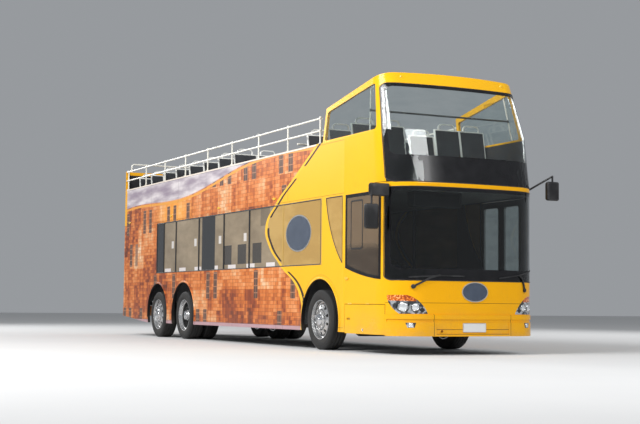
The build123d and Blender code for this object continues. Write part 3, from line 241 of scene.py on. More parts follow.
def pillow(width, depth, height, crown=0.35, rows=14, columns=28):
    """A crowned closed form: a box whose outline is a rounded square (a superellipse of power 5) and whose top
    and underside swell in the middle by a share of its height, from pole to pole."""
    v = np.linspace(-np.pi / 2, np.pi / 2, rows)[:, None]
    u = np.linspace(0, 2 * np.pi, columns, endpoint=False)[None, :]

    def power(value, exponent):
        """A power that keeps its value's sign."""
        return np.sign(value) * np.abs(value) ** exponent

    ring_size = power(np.cos(v), 0.25)
    x = width / 2 * ring_size * power(np.cos(u), 0.4)
    y = depth / 2 * ring_size * power(np.sin(u), 0.4)
    swell = 1 + crown * (np.cos(np.pi * x / width) * np.cos(np.pi * y / depth))
    z = height / 2 * power(np.sin(v), 0.6) * swell / (1 + crown)
    return surface(xyz(x, y, z), wrap_columns=True)


def rounded_loop(x0, x1, z0, z1, r, steps=8, runs=24):
    """A closed loop of points round a rectangle with quarter circles at its corners, anticlockwise from the
    right side's middle, each straight run divided evenly, in two coordinates. r holds the four corner radii
    from upper right round by upper left, lower left and lower right, or one for all."""
    turn = np.linspace(0, np.pi / 2, steps)
    corners = []
    for k, (radius, right, high) in enumerate(zip(np.broadcast_to(r, 4), (1, 0, 0, 1), (1, 1, 0, 0))):
        middle = (x1 - radius if right else x0 + radius, z1 - radius if high else z0 + radius)
        angle = turn + k * np.pi / 2
        corners.append(np.asarray(middle) + radius * np.stack([np.cos(angle), np.sin(angle)], -1))
    share = np.linspace(0, 1, runs + 1, endpoint=False)[1:, None]
    loop = []
    for k in range(4):
        loop += [corners[k], corners[k][-1] + (corners[(k + 1) % 4][0] - corners[k][-1]) * share]
    return np.concatenate(loop)


def oval(half_wide, half_high, middle):
    """A closed ellipse: the cosine of an even turn along the first axis, its sine along the second."""
    turn = np.linspace(0, 2 * np.pi, 64, endpoint=False)
    return np.stack([middle[0] + half_wide * np.cos(turn), middle[1] + half_high * np.sin(turn)], -1)


def band(outer, inner, place, thick):
    """A flat ring between two loops of the same number of points, raised by its thickness off the surface that
    place gives for a point and a height: the outer edge, the outer and inner top and the inner edge."""
    edges = [place(outer, 0.0), place(outer, thick), place(inner, thick), place(inner, 0.0)]
    return surface(np.stack(edges, 1), wrap_rows=True, wrap_columns=True)


def patch(loop, place, thick, rings=6):
    """A plate inside a loop, raised off the surface that place gives: rings of the loop drawn in evenly
    towards its middle, with a rim down to the surface."""
    middle = loop.mean(0)
    rows = [place(loop, 0.0)]
    for share in np.linspace(1, 0, rings):
        rows.append(place(middle + (loop - middle) * max(share, 1e-4), thick))
    return surface(np.stack(rows, 0)[::-1], wrap_columns=True)


def on_face(y, z, off=0.0, ahead=0.0):
    """Points off the front face, at places across and up. At each level the face's plan is a bow of large
    radius between two round corners; the plan's tip, half width and corner radius run straight between their
    levels. A place across gives the angle round the bow or the corner by its sine, and off is added to the
    radius. The last value gives the place of a part ahead of the cowl, such as the bumper."""
    y, z, off = np.broadcast_arrays(np.asarray(y, float), np.asarray(z, float), np.asarray(off, float))
    tip = COWL_X + ahead - np.interp(z, FACE_LEVELS, FACE_LEAN)
    corner_r = np.interp(z, FACE_LEVELS, FACE_CORNER_R)
    centre = tip - NOSE_BOW_R
    corner_y = np.interp(z, FACE_LEVELS, FACE_HALF) - corner_r
    corner_x = centre + np.sqrt((NOSE_BOW_R - corner_r) ** 2 - corner_y ** 2)
    turn = np.arctan2(corner_y, corner_x - centre)
    reach = np.abs(y)
    in_bow = reach <= corner_y + corner_r * np.sin(turn)
    angle = np.where(in_bow, np.arcsin(np.clip(reach / NOSE_BOW_R, 0, 1)),
                     np.arcsin(np.clip((reach - corner_y) / corner_r, 0, 1)))
    radius = np.where(in_bow, NOSE_BOW_R, corner_r) + off
    middle_x = np.where(in_bow, centre, corner_x)
    middle_y = np.where(in_bow, 0.0, corner_y)
    side = np.where(y < 0, -1.0, 1.0)
    return xyz(middle_x + radius * np.cos(angle), side * (middle_y + radius * np.sin(angle)), z)


def face_spot(y, z, off=0.0, ahead=0.0):
    """A point on the front face and the direction that it faces."""
    point = on_face(y, z, off, ahead)
    return point, (on_face(y, z, off + 0.01, ahead) - point) / 0.01


def face_place(ahead=0.0, off=0.0):
    """A place function on the front face: loop points are (across, up)."""
    return lambda loop, height: on_face(loop[:, 0], loop[:, 1], off + height, ahead)


def side_place(side, set_in=0.0):
    """A place function on a flat side: loop points are (along, up), and side is +1 for left, -1 for right."""
    return lambda loop, height: xyz(loop[:, 0], side * (SIDE_Y - set_in + height), loop[:, 1])


def cross_place(x, out=-1):
    """A place function on a plane across the bus that faces back, or ahead with out +1: loop points are
    (across, up)."""
    return lambda loop, height: xyz(x + out * height, loop[:, 0], loop[:, 1])


# ---- Shader graphs ----


class Graph:
    """Short calls for the nodes of a material or of a shader node group, with the Object coordinates and their
    three parts at hand."""

    def __init__(self, tree):
        self.tree = tree
        self.at = self.node("ShaderNodeTexCoord").outputs["Object"]
        self.x, self.y, self.z = self.node("ShaderNodeSeparateXYZ", {0: self.at}).outputs

    def node(self, kind, inputs=None, **settings):
        """A node with its settings, its inputs set or linked by name or number."""
        node = self.tree.nodes.new(kind)
        for key, value in settings.items():
            setattr(node, key, value)
        for key, value in (inputs or {}).items():
            self.feed(node.inputs[key], value)
        return node

    def feed(self, socket, value):
        """Links a socket to another or sets its value."""
        if isinstance(value, bpy.types.NodeSocket):
            self.tree.links.new(value, socket)
        elif socket.type == "RGBA" and len(value) == 3:
            socket.default_value = (*value, 1.0)
        else:
            socket.default_value = value

    def math(self, operation, a, b=0.0):
        """One arithmetic step."""
        return self.node("ShaderNodeMath", {0: a, 1: b}, operation=operation).outputs[0]

    def fold(self, operation, values):
        """One arithmetic step taken through several values."""
        total = values[0]
        for value in values[1:]:
            total = self.math(operation, total, value)
        return total

    def mul(self, *values):
        """The product."""
        return self.fold("MULTIPLY", values)

    def add(self, *values):
        """The sum."""
        return self.fold("ADD", values)

    def most(self, *values):
        """The greatest value."""
        return self.fold("MAXIMUM", values)

    def sub(self, a, b):
        """The difference."""
        return self.math("SUBTRACT", a, b)

    def flip(self, a):
        """One less a mask."""
        return self.sub(1.0, a)

    def size(self, a):
        """A value without its sign."""
        return self.math("ABSOLUTE", a)

    def sine(self, value, rate):
        """The sine of a value times a rate."""
        return self.math("SINE", self.mul(value, rate))

    def reach(self, a, b):
        """How long a step of a one way and b across it is."""
        return self.math("SQRT", self.add(self.mul(a, a), self.mul(b, b)))

    def mix(self, share, a, b):
        """Colour a going to colour b by a share."""
        return self.node("ShaderNodeMix", {0: share, 6: a, 7: b}, data_type="RGBA").outputs[2]

    def over(self, color, *layers):
        """A colour with layers of (share, colour) laid over it in turn."""
        for share, tint in layers:
            color = self.mix(share, color, tint)
        return color

    def lerp(self, share, a, b):
        """Value a going to value b by a share."""
        return self.node("ShaderNodeMix", {0: share, 2: a, 3: b}, data_type="FLOAT").outputs[0]

    def span(self, value, low, high, start=0.0, end=1.0):
        """A straight run from start at the low value to end at the high one."""
        return self.node("ShaderNodeMapRange", {"Value": value, "From Min": low, "From Max": high, "To Min": start,
                                                "To Max": end}).outputs[0]

    def rise(self, value, low, high):
        """0 below low, 1 above high and a smooth rise between; it falls where high is less than low."""
        if low > high:
            return self.flip(self.rise(value, high, low))
        return self.node("ShaderNodeMapRange", {"Value": value, "From Min": low, "From Max": high},
                         interpolation_type="SMOOTHSTEP").outputs[0]

    def within(self, value, low, high, soft=0.002):
        """1 between two values, with soft ends."""
        return self.mul(self.rise(value, low - soft, low + soft), self.rise(value, high + soft, high - soft))

    def lines(self, value, places, half, soft=0.0015):
        """1 at each of several places of a value, over a half width."""
        return self.most(*[self.within(value, place - half, place + half, soft) for place in places])

    def noise(self, scale, detail=3.0, roughness=0.5, stretch=None, at=None):
        """Cloudy noise, drawn out by three numbers where stretch gives them."""
        at = at or self.at
        vector = self.stretched(at, stretch) if stretch else at
        return self.node("ShaderNodeTexNoise", {"Vector": vector, "Scale": scale, "Detail": detail,
                                                "Roughness": roughness}).outputs[0]

    def cells(self, scale, at=None):
        """The distance from the nearest of scattered cells' middles."""
        return self.node("ShaderNodeTexVoronoi", {"Vector": at or self.at, "Scale": scale}).outputs["Distance"]

    def flat(self, along=None):
        """Coordinates on an upright plane: along the bus, or along another value, and up."""
        return self.node("ShaderNodeCombineXYZ", {0: along or self.x, 1: self.z}).outputs[0]

    def stretched(self, vector, scale):
        """Coordinates multiplied by three numbers."""
        return self.node("ShaderNodeMapping", {"Vector": vector, "Scale": scale}).outputs[0]

    def bricks(self, flat, width, height, gap=0.0, offset=0.5, smooth=0.1, joint=0.5):
        """Cells of running bond: a chance value for each cell, and its joints."""
        return self.node("ShaderNodeTexBrick", {
            "Vector": flat, "Color1": (0, 0, 0), "Color2": (1, 1, 1), "Mortar": (joint,) * 3, "Scale": 1.0,
            "Mortar Size": gap, "Mortar Smooth": smooth, "Bias": 0.0, "Brick Width": width,
            "Row Height": height}, offset=offset).outputs

    def ramp(self, value, *stops):
        """A colour that runs through stops of (place, colour)."""
        node = self.node("ShaderNodeValToRGB", {0: value})
        elements = node.color_ramp.elements
        while len(elements) < len(stops):
            elements.new(0.5)
        for element, (place, color) in zip(elements, stops):
            element.position = place
            element.color = (*color, 1.0)
        return node.outputs[0]

    def bump(self, height, strength=0.3, distance=0.001, normal=None):
        """A normal raised by a height, over another normal where one is given."""
        inputs = {"Height": height, "Strength": strength, "Distance": distance}
        if normal is not None:
            inputs["Normal"] = normal
        return self.node("ShaderNodeBump", inputs).outputs[0]

    def use(self, group, **inputs):
        """Places a shared node group with its own values, and returns its outputs."""
        return self.node("ShaderNodeGroup", inputs, node_tree=bpy.data.node_groups[group]).outputs


SHADER_INPUTS = ("Base Color", "Roughness", "Normal", "Metallic")
SOCKETS = {"Normal": "NodeSocketVector", "Color": "NodeSocketColor"}
EFFECTS, FINISHES, MADE = {}, {}, {}


def effect(*outputs, **inputs):
    """Keep the function below as a shared node group: its outputs' names and its inputs' defaults."""
    def keep(build):
        EFFECTS[build.__name__.replace("_", " ")] = (build, outputs, inputs)
        return build
    return keep


def finish(slot=None, **constants):
    """Keep the function below as a finish under its name: a CAD slot, where that has another name, which is not
    used, and constants of its shader. The function returns the shader's inputs in their order."""
    def keep(build):
        FINISHES[build.__name__] = (build, slot, constants)
        return build
    return keep


def material(name, build, constants):
    """A material from a finish's function, which takes its graph; the constants are set on the shader."""
    mat = bpy.data.materials.new(name)
    mat.use_nodes = True
    mat.node_tree.nodes.clear()
    g = Graph(mat.node_tree)
    shader = g.node("ShaderNodeBsdfPrincipled")
    for key, value in (*constants.items(), *zip(SHADER_INPUTS, build(g))):
        g.feed(shader.inputs[key], value)
    g.node("ShaderNodeOutputMaterial", {0: shader.outputs[0]})
    return mat


def make_group(name, build, outputs, inputs):
    """A shader node group from an effect's function, which takes its graph and the inputs' sockets and returns
    the outputs in their order."""
    tree = bpy.data.node_groups.new(name, "ShaderNodeTree")
    for key, default in inputs.items():
        socket = tree.interface.new_socket(key, in_out="INPUT", socket_type="NodeSocketFloat")
        socket.default_value = default
    for key in outputs:
        tree.interface.new_socket(key, in_out="OUTPUT", socket_type=SOCKETS.get(key, "NodeSocketFloat"))
    g = Graph(tree)
    given = g.node("NodeGroupInput").outputs
    g.node("NodeGroupOutput", dict(zip(outputs, build(g, *(given[key] for key in inputs)))))


@effect("Normal", "Roughness", Wave=0.6, Peel=0.02, Smooth=0.16, Dull=0.26)
def paint_finish(g, wave, peel, smooth, dull):
    """Spray paint's shallow ripple: a coarse and a fine noise raise the surface a little."""
    height = g.add(g.mul(g.noise(3.0, 1.0), wave), g.mul(g.noise(700.0, 1.0), peel))
    return g.bump(height, 0.25, 0.002), g.lerp(g.noise(9.0, 4.0), smooth, dull)


@effect("Mask", Reach=1.1, Amount=0.6)
def road_dust(g, reach, amount):
    """Dust that is thick near the road and thins out upwards, broken by noise and drawn out in streaks."""
    high = g.span(g.z, 0.1, reach, 1.0, 0.0)
    cloud = g.noise(1.0, 6.0, 0.65, (2.2, 2.2, 5.0))
    return g.mul(high, high, g.rise(cloud, 0.3, 0.75), amount),


@effect("Normal", Scale=420.0, Depth=0.25)
def fine_grain(g, scale, depth):
    """Moulded plastic's leathery grain: a cell pattern under a fine noise."""
    return g.bump(g.add(g.cells(scale), g.mul(g.noise(1500.0, 1.0), 0.4)), depth, 0.0006),


@effect("Mask", Amount=0.5)
def scuffs(g, amount):
    """Scuffs and scratches: thin streaks left where a stretched noise crosses a narrow range."""
    streak = g.noise(1.0, 5.0, 0.7, (30.0, 30.0, 4.0))
    return g.mul(g.within(streak, 0.52, 0.545, 0.008), g.rise(g.noise(2.0, 2.0), 0.48, 0.62), amount),


@effect("Normal", "Mask", Scale=160.0)
def cloth_weave(g, scale):
    """Woven cloth: two crossed waves of threads, one over the other in turn."""
    warp, weft = (g.node("ShaderNodeTexWave", {"Vector": g.at, "Scale": scale}, bands_direction=way).outputs[1]
                  for way in "YX")
    height = g.most(warp, g.mul(weft, 0.9))
    return g.bump(height, 0.5, 0.0008), height


@effect("Ring", "Turn")
def wheel_place(g):
    """How far a point is from the nearest axle, and its angle round it."""
    nearest = g.fold("MINIMUM", [g.size(g.sub(g.x, x)) for x in AXLES.values()])
    up = g.sub(g.z, TYRE_R)
    return g.reach(nearest, up), g.math("ARCTAN2", up, nearest)


# The livery's edge on both sides: how far along the bus the yellow front begins at each height
LIVERY_EDGE = ((0.28, 3.30), (0.797, 3.237), (1.354, 2.399), (1.66, 1.99), (1.939, 1.85), (2.326, 2.26),
               (2.70, 2.95), (3.142, 3.758), (3.4, 4.2))
LIVERY_Z = (0.28, 3.4)
LIVERY_X = (1.5, 4.5)


@effect("Print", "Dash", "Line")
def livery(g):
    """The side's two zones. A curve gives the place along the bus where the yellow front begins at a height;
    the distance from it gives the print's zone and a double yellow line broken by dark dashes."""
    curve = g.node("ShaderNodeFloatCurve", {1: g.span(g.z, *LIVERY_Z)})
    points = curve.mapping.curves[0].points
    while len(points) < len(LIVERY_EDGE):
        points.new(0.5, 0.5)
    for point, (level, along) in zip(points, LIVERY_EDGE):
        point.location = ((level - LIVERY_Z[0]) / (LIVERY_Z[1] - LIVERY_Z[0]),
                          (along - LIVERY_X[0]) / (LIVERY_X[1] - LIVERY_X[0]))
    curve.mapping.update()
    off = g.sub(g.x, g.add(g.mul(curve.outputs[0], LIVERY_X[1] - LIVERY_X[0]), LIVERY_X[0]))
    dash = g.rise(g.sine(g.z, 8.5), -0.80, -0.70)
    return (g.rise(off, -0.19, -0.20), g.mul(g.within(off, -0.105, -0.022, 0.008), dash),
            g.within(off, -0.195, -0.105, 0.004))


def tile_rows(g, flat):
    """Tiles of two sizes in running bond and upright streaks between them give each place a tone, from deep
    brown by terracotta and orange to peach."""
    small, joints = g.bricks(flat, 0.135, 0.062, 0.004)[:2]
    tall, large = (g.bricks(flat, *cell, 0.0, offset)[0] for *cell, offset in ((0.21, 0.56, 0.31), (0.93, 0.47, 0.37)))
    streak = g.noise(1.0, 4.0, 0.6, (9.0, 0.9, 1.0), flat)
    tone = g.add(g.add(g.mul(small, 0.20), g.mul(tall, 0.24)), g.mul(large, 0.26))
    tone = g.add(tone, g.add(g.mul(streak, 0.55), g.mul(g.noise(0.7, at=flat), 0.45)))
    color = g.ramp(g.sub(tone, 0.36), (0.10, (0.075, 0.020, 0.010)), (0.30, (0.30, 0.062, 0.018)),
                   (0.46, (0.62, 0.17, 0.030)), (0.60, (0.74, 0.27, 0.085)), (0.74, (0.78, 0.42, 0.20)),
                   (0.90, (0.90, 0.66, 0.46)))
    return g.mix(g.mul(joints, 0.45), color, (0.16, 0.045, 0.02)), joints


@effect("Color", "Tiles")
def tile_print(g):
    """A print of no scene: rows of terracotta and orange tiles whose tints change from tile to tile, upright
    dark panels dropped among them in a loose pattern, a pale lilac wedge under the top rail with an orange
    line under it, and a pale skirt."""
    flat = g.flat()
    color, joints = tile_rows(g, flat)
    chance, edges = g.bricks(flat, 0.37, 0.68, 0.105, 0.35)[:2]
    chosen = g.rise(chance, 0.58, 0.62)
    panel = g.mul(chosen, g.flip(edges))
    rim = g.mul(chosen, g.flip(g.bricks(flat, 0.37, 0.68, 0.088, 0.35)[1]))
    bars = g.mul(panel, g.most(g.rise(g.sine(g.x, 74.0), 0.86, 0.95), g.rise(g.sine(g.z, 52.0), 0.86, 0.95)))
    glow = g.rise(g.node("ShaderNodeVectorMath", {0: g.stretched(flat, (0.55, 1.0, 1.0)), 1: (-1.55, 2.45, 0.0)},
                         operation="DISTANCE").outputs["Value"], 0.75, 0.0)
    swing = g.add(g.mul(g.math("SINE", g.add(g.mul(g.x, 0.9), 0.4)), 0.10), g.add(g.mul(g.x, 0.060), 2.98))
    over_wave = g.sub(g.z, swing)
    pale = g.mix(g.rise(g.noise(1.1, 4.0, stretch=(1.0, 5.0, 1.0), at=flat), 0.30, 0.75),
                 (0.30, 0.24, 0.30), (0.78, 0.72, 0.72))
    color = g.over(color, (g.mul(glow, 0.75), (0.98, 0.40, 0.03)), (g.mul(rim, 0.7), (0.86, 0.60, 0.42)),
                   (g.mul(panel, 0.93), (0.045, 0.022, 0.020)), (g.mul(bars, 0.7), (0.50, 0.24, 0.13)),
                   (g.rise(over_wave, -0.01, 0.015), pale),
                   (g.within(over_wave, -0.06, -0.015, 0.004), (0.80, 0.34, 0.05)),
                   (g.rise(g.z, 0.352, 0.346), (0.50, 0.31, 0.34)))
    return color, g.mul(joints, g.flip(panel), g.rise(over_wave, 0.0, -0.02))


def face_runs():
    """The front's corner centre and radius at each level: how far along, how far across, and the radius."""
    rows = []
    for lean, half, r in zip(FACE_LEAN, FACE_HALF, FACE_CORNER_R):
        across = half - r
        rows.append((COWL_X - lean - NOSE_BOW_R + math.sqrt((NOSE_BOW_R - r) ** 2 - across ** 2), across, r))
    return rows


# Painted shade: a mask of the front walls' inner faces, which the nose paint turns near black.
@effect("Mask")
def shading(g):
    """The inner faces of the front's walls, which take painted shade: the distance from the corner's centre, taken
    from the plan at the height, is less than the corner's radius by more than the outer skin."""
    def by_level(values):
        """A quantity that runs straight between its values at the front's levels."""
        low, high = (g.span(g.z, *FACE_LEVELS[k:k + 2], *values[k:k + 2]) for k in (0, 1))
        return g.lerp(g.rise(g.z, FACE_LEVELS[1] - 0.0001, FACE_LEVELS[1] + 0.0001), low, high)

    along, across, radius = map(by_level, zip(*face_runs()))
    reach = g.reach(g.most(g.sub(g.x, along), 0.0), g.most(g.sub(g.size(g.y), across), 0.0))
    return g.rise(g.sub(radius, reach), 0.010, 0.014),


# ---- Finishes of the CAD nodes, under their slots' names ----

GLASS = {"IOR": 1.45, "Transmission Weight": 1.0}
GLOSS = {"Coat Roughness": 0.06, "Coat Weight": 0.25}
COACH = {"Coat Roughness": 0.10, "Coat Weight": 0.10, "Specular IOR Level": 0.2}
LENS = {"Coat Weight": 1.0, "Coat Roughness": 0.02}
PRINT = {"Smooth": 0.26, "Dull": 0.42}

OCHRE = (0.47, 0.30, 0.085)
JOINT_BROWN = (0.03, 0.022, 0.018)
# Headlamp bowls: place across, height and radius
BOWLS = ((1.045, 0.666, 0.066), (0.898, 0.664, 0.054))
# Wheel arches: place along the bus, centre height and radius
ARCHES = ((AXLES["front"] + 0.04, 0.434, 0.640), (AXLES["drive"], 0.471, 0.620), (AXLES["tag"], 0.478, 0.600))
# Panel joints on the sides: half width, and places along the bus under and over the windows
SEAM_HALF = 0.0034
SEAM_XS = (-0.78, 0.267, 2.125, 2.401)
UPPER_SEAM_XS = (-4.2, -2.6, -1.1, 0.9, 2.55)
COPING_Z = 3.134
RIM_Z = (3.158, 3.150)
NOTE_XS = (-2.876, -1.614, -0.366, 0.798)


def with_dust(g, color, rough, amount, reach):
    """A colour and roughness under road dust."""
    dust = g.use("road dust", Amount=amount, Reach=reach)[0]
    return g.mix(dust, color, (0.21, 0.17, 0.13)), g.lerp(dust, rough, 0.75)


def coated(g, color, height, amount, reach, strength=-0.4, distance=0.0015, **gloss):
    """A painted panel with a height let into it: its colour under road dust, its roughness and its normal."""
    paint = g.use("paint finish", **gloss)
    return *with_dust(g, color, paint["Roughness"], amount, reach), g.bump(height, strength, distance, paint["Normal"])


def coach_yellow(g):
    """Coach yellow, deeper on the front than on the sides, with a slow drift."""
    colors = bpy.context.scene.bus_colors
    base = g.mix(g.rise(g.x, 5.55, 5.95), colors.body, colors.nose)
    return g.mix(g.mul(g.rise(g.noise(0.8), 0.35, 0.75), 0.12), base, (0.55, 0.25, 0.01))


def with_livery(g, livery, color):
    """A colour under the livery's dark dashes and yellow line."""
    return g.over(color, (livery["Dash"], (0.035, 0.018, 0.012)), (livery["Line"], (0.93, 0.52, 0.03)))


def arch_rings(g, near, far):
    """1 between two distances outside the wheel arches' edges."""
    return g.most(*[g.within(g.sub(g.reach(g.sub(g.x, along), g.sub(g.z, up)), r), near, far, 0.0015)
                    for along, up, r in ARCHES])


@finish(**COACH)
def yellow_paint(g):
    """Gloss coach paint on the nose, with thin lines round the belt between the screens, panel joints and painted
    shade in near black on the inner faces."""
    joints = g.most(g.mul(g.lines(g.z, (2.334, 2.412), 0.004), g.rise(g.x, 5.30, 5.45)),
                    g.mul(g.lines(g.z, (0.724,), 0.0026), g.rise(g.x, 5.70, 5.74)),
                    g.mul(g.lines(g.y, (-0.635, 0.635), SEAM_HALF), g.within(g.z, 0.27, 0.566)),
                    g.mul(g.lines(g.z, (0.293, 0.357), SEAM_HALF), g.within(g.y, -0.60, 0.60),
                          g.rise(g.x, 5.9, 6.0)),
                    g.mul(arch_rings(g, 0.062, 0.068), g.rise(g.x, 2.0, 2.1)),
                    g.mul(g.most(g.lines(g.x, (4.583, 5.717), SEAM_HALF),
                                 g.mul(g.lines(g.z, (0.697,), SEAM_HALF), g.within(g.x, 4.58, 5.72))),
                          g.rise(g.z, 0.70, 0.698), g.rise(g.y, -1.0, -1.1)))
    # Painted shade: the inner faces below the rim are painted near black.
    color = g.over(coach_yellow(g), (joints, (0.022, 0.014, 0.006)),
                   (g.mul(g.use("shading")[0], g.rise(g.z, *RIM_Z)), (0.035, 0.036, 0.038)))
    color, rough, normal = coated(g, color, joints, 0.42, 0.9, -0.6, 0.002)
    return g.mix(g.use("scuffs", Amount=0.16)[0], color, (0.35, 0.22, 0.06)), rough, normal


@finish(**COACH)
def side_film(g):
    """The sides: coach paint ahead of the livery's edge and printed film behind it, with the double line
    between them, black pillars in the window band, a pale coping, panel joints, painted shade in near black on
    the arches' reveals and the inner faces below the deck, and grey inner faces above it."""
    livery, art = g.use("livery"), g.use("tile print")
    color = with_livery(g, livery, g.mix(livery["Print"], coach_yellow(g), art["Color"]))
    side, inner = g.rise(g.size(g.y), 1.20, 1.22), g.rise(g.size(g.y), 1.236, 1.233)
    windows = g.mul(g.within(g.z, 1.290, 2.312), g.within(g.x, -3.835, 3.80), side)
    lines = g.most(g.mul(g.lines(g.x, SEAM_XS, SEAM_HALF), g.within(g.z, 0.28, 1.28)),
                   g.mul(g.lines(g.x, UPPER_SEAM_XS, SEAM_HALF), g.within(g.z, 2.36, 3.14)),
                   g.mul(g.lines(g.z, (0.349, 2.335, COPING_Z - 0.004), 0.003), side),
                   g.mul(arch_rings(g, 0.062, 0.066), g.rise(g.z, 0.30, 0.31)))
    coping = g.mul(g.rise(g.z, COPING_Z - 0.001, COPING_Z + 0.001), livery["Print"], side)
    # Painted shade: the arches' reveals and the inner faces below the deck are painted near black.
    painted_shade_inside = g.most(arch_rings(g, -0.1, 0.0035), g.mul(inner, g.rise(g.z, 2.36, 2.35)))
    color = g.over(color, (g.mul(g.rise(g.x, -5.80, -5.90), g.within(g.z, 2.36, 3.60)),
                           bpy.context.scene.bus_colors.nose),
                   (windows, g.mix(livery["Print"], OCHRE, (0.012, 0.012, 0.013))),
                   (g.mul(lines, 0.8), JOINT_BROWN), (coping, (0.80, 0.70, 0.60)), (painted_shade_inside, (0.014, 0.014, 0.015)),
                   (g.mul(inner, g.rise(g.z, 2.38, 2.39), g.rise(g.z, *RIM_Z)), (0.16, 0.16, 0.16)))
    height = g.most(lines, g.mul(art["Tiles"], livery["Print"], 0.08))
    color, rough, normal = coated(g, color, height, 0.35, 0.9, **PRINT)
    return color, g.lerp(windows, rough, 0.25), normal


@finish(**COACH)
def rear_paint(g):
    """The tail: tiled print low down, yellow corners and a black wall above the deck, with dust."""
    wide = g.size(g.y)
    corner = g.most(g.rise(g.z, 2.36, 2.365), g.mul(g.rise(wide, 1.10, 1.102), g.rise(g.z, 0.66, 0.665),
                                                    g.rise(g.x, -6.0, -6.05)))
    inner = g.mul(g.rise(g.x, -6.0585, -6.0565), g.rise(wide, 1.204, 1.200), g.within(g.z, 2.38, 3.50))
    lines = g.mul(g.lines(g.z, (2.36, 1.36), 0.003), g.rise(g.x, -6.05, -6.09))
    color = g.over(tile_rows(g, g.flat(g.y))[0], (g.rise(wide, 1.225, 1.235), g.use("tile print")["Color"]),
                   (corner, bpy.context.scene.bus_colors.nose), (inner, (0.02, 0.02, 0.022)), (lines, JOINT_BROWN))
    return coated(g, color, lines, 0.6, 1.5, **PRINT)


@finish(**{"Coat Weight": 0.2, "Coat Roughness": 0.05})
def tinted_glass(g):
    """Side windows under printed film: a tan sheet with darker upright blocks, pale sills and small pale notes,
    two panes left dark, the livery's line, and ochre ahead of it, all under the film's fine dots."""
    flat = g.flat()
    blocks, edges = g.bricks(flat, 0.66, 0.62, 0.14, smooth=0.02, joint=0.0)[:2]
    drift = g.noise(1.0, 4.0, 0.6, (0.7, 1.6, 1.0), flat)
    tan = g.ramp(drift, (0.30, (0.18, 0.135, 0.085)), (0.55, (0.29, 0.225, 0.145)), (0.75, (0.38, 0.30, 0.20)))
    film = g.over(tan, (g.mul(g.rise(blocks, 0.50, 0.56), g.flip(edges), 0.9), (0.03, 0.028, 0.028)),
                  (g.mul(g.within(g.z, 1.30, 1.375, 0.004), g.rise(g.sine(g.x, 7.5), 0.2, 0.3)), (0.74, 0.68, 0.66)),
                  (g.mul(g.lines(g.x, NOTE_XS, 0.062), g.within(g.z, 1.77, 1.91)), (0.66, 0.62, 0.58)),
                  (g.most(g.rise(g.x, -3.40, -3.42), g.within(g.x, -1.27, -0.61, 0.01)), (0.016, 0.017, 0.019)))
    ochre = g.mix(g.rise(drift, 0.4, 0.6), (0.43, 0.26, 0.07), (0.52, 0.33, 0.10))
    livery = g.use("livery")
    color = with_livery(g, livery, g.mix(livery["Print"], ochre, film))
    dots = g.mul(g.rise(g.cells(260.0, flat), 0.35, 0.15), 0.2)
    return g.mix(dots, color, (0.02, 0.02, 0.02)), g.lerp(drift, 0.10, 0.18)


def haze(g, scale=2.5):
    """A faint wiped cloud."""
    return g.noise(scale, 4.0, stretch=(1.0, 1.0, 3.0))


def laminated(g, clear, smeared):
    """Laminated glass between two tints, with a faint wiped haze."""
    cloud = haze(g)
    return g.mix(g.rise(cloud, 0.3, 0.8), clear, smeared), g.mul(cloud, 0.02)


@finish(**{"IOR": 1.45, "Transmission Weight": 0.45})
def tan_glass(g):
    """The driver's side glass: bronze tinted, darker low down, with a dusty haze."""
    cloud = haze(g)
    color = g.mix(g.rise(g.z, 1.45, 1.60), (0.055, 0.035, 0.022), (0.25, 0.17, 0.10))
    return g.mix(g.mul(cloud, 0.3), color, (0.34, 0.27, 0.19)), g.mul(cloud, 0.08)


@finish(**GLASS)
def clear_glass(g):
    """Nearly clear glass."""
    return laminated(g, (0.80, 0.86, 0.85), (0.72, 0.79, 0.79))


@finish(**GLASS)
def windscreen_glass(g):
    """The lower windscreen: glass with a heat-filtering tint."""
    return laminated(g, (0.44, 0.48, 0.48), (0.36, 0.40, 0.40))


@finish(**GLASS)
def dark_glass(g):
    """Tinted toughened glass."""
    cloud = haze(g, 3.0)
    return g.mix(cloud, (0.10, 0.115, 0.12), (0.16, 0.17, 0.17)), g.mul(cloud, 0.05)


@finish()
def floor_sheet(g):
    """Slip-resistant sheet: grey with light and dark grains, dirtier along the walked middle."""
    grains = g.noise(420.0, 2.0)
    color = g.ramp(grains, (0.38, (0.045, 0.047, 0.05)), (0.5, (0.12, 0.125, 0.13)), (0.64, (0.30, 0.31, 0.32)))
    walked = g.mul(g.rise(g.size(g.y), 0.5, 0.1), g.rise(g.noise(3.0, 4.0), 0.4, 0.7), 0.6)
    return g.mix(walked, color, (0.07, 0.06, 0.05)), g.lerp(walked, 0.55, 0.8), g.bump(grains, 0.3, 0.0008)


@finish()
def deck_sheet(g):
    """The upper deck's covering: fine ribs along the bus, bleached and water-marked; its underside is the pale
    saloon ceiling."""
    marks = g.noise(1.6, 5.0, 0.6)
    color = g.ramp(marks, (0.3, (0.10, 0.105, 0.11)), (0.55, (0.17, 0.175, 0.18)), (0.8, (0.27, 0.27, 0.265)))
    under = g.rise(g.z, 2.3515, 2.3505)
    return (g.mix(under, color, (0.42, 0.42, 0.40)), g.lerp(marks, 0.5, 0.8),
            g.bump(g.mul(g.sine(g.y, 420.0), g.flip(under)), 0.35, 0.0015))


@finish()
def chassis_paint(g):
    """Chassis paint, dusty and stone-chipped."""
    chips = g.rise(g.noise(55.0, 3.0, 0.7), 0.68, 0.74)
    color = g.mix(chips, (0.022, 0.022, 0.024), (0.16, 0.13, 0.11))
    return *with_dust(g, color, 0.5, 0.9, 1.4), g.bump(chips, -0.3, 0.001)


@finish(Metallic=0.3)
def engine_iron(g):
    """Painted casting with oil mist."""
    oil = g.rise(g.noise(4.0, 5.0, 0.65), 0.5, 0.66)
    return (g.mix(oil, (0.20, 0.22, 0.225), (0.045, 0.038, 0.03)), g.lerp(oil, 0.62, 0.28),
            g.bump(g.noise(260.0, 2.0), 0.5, 0.001))


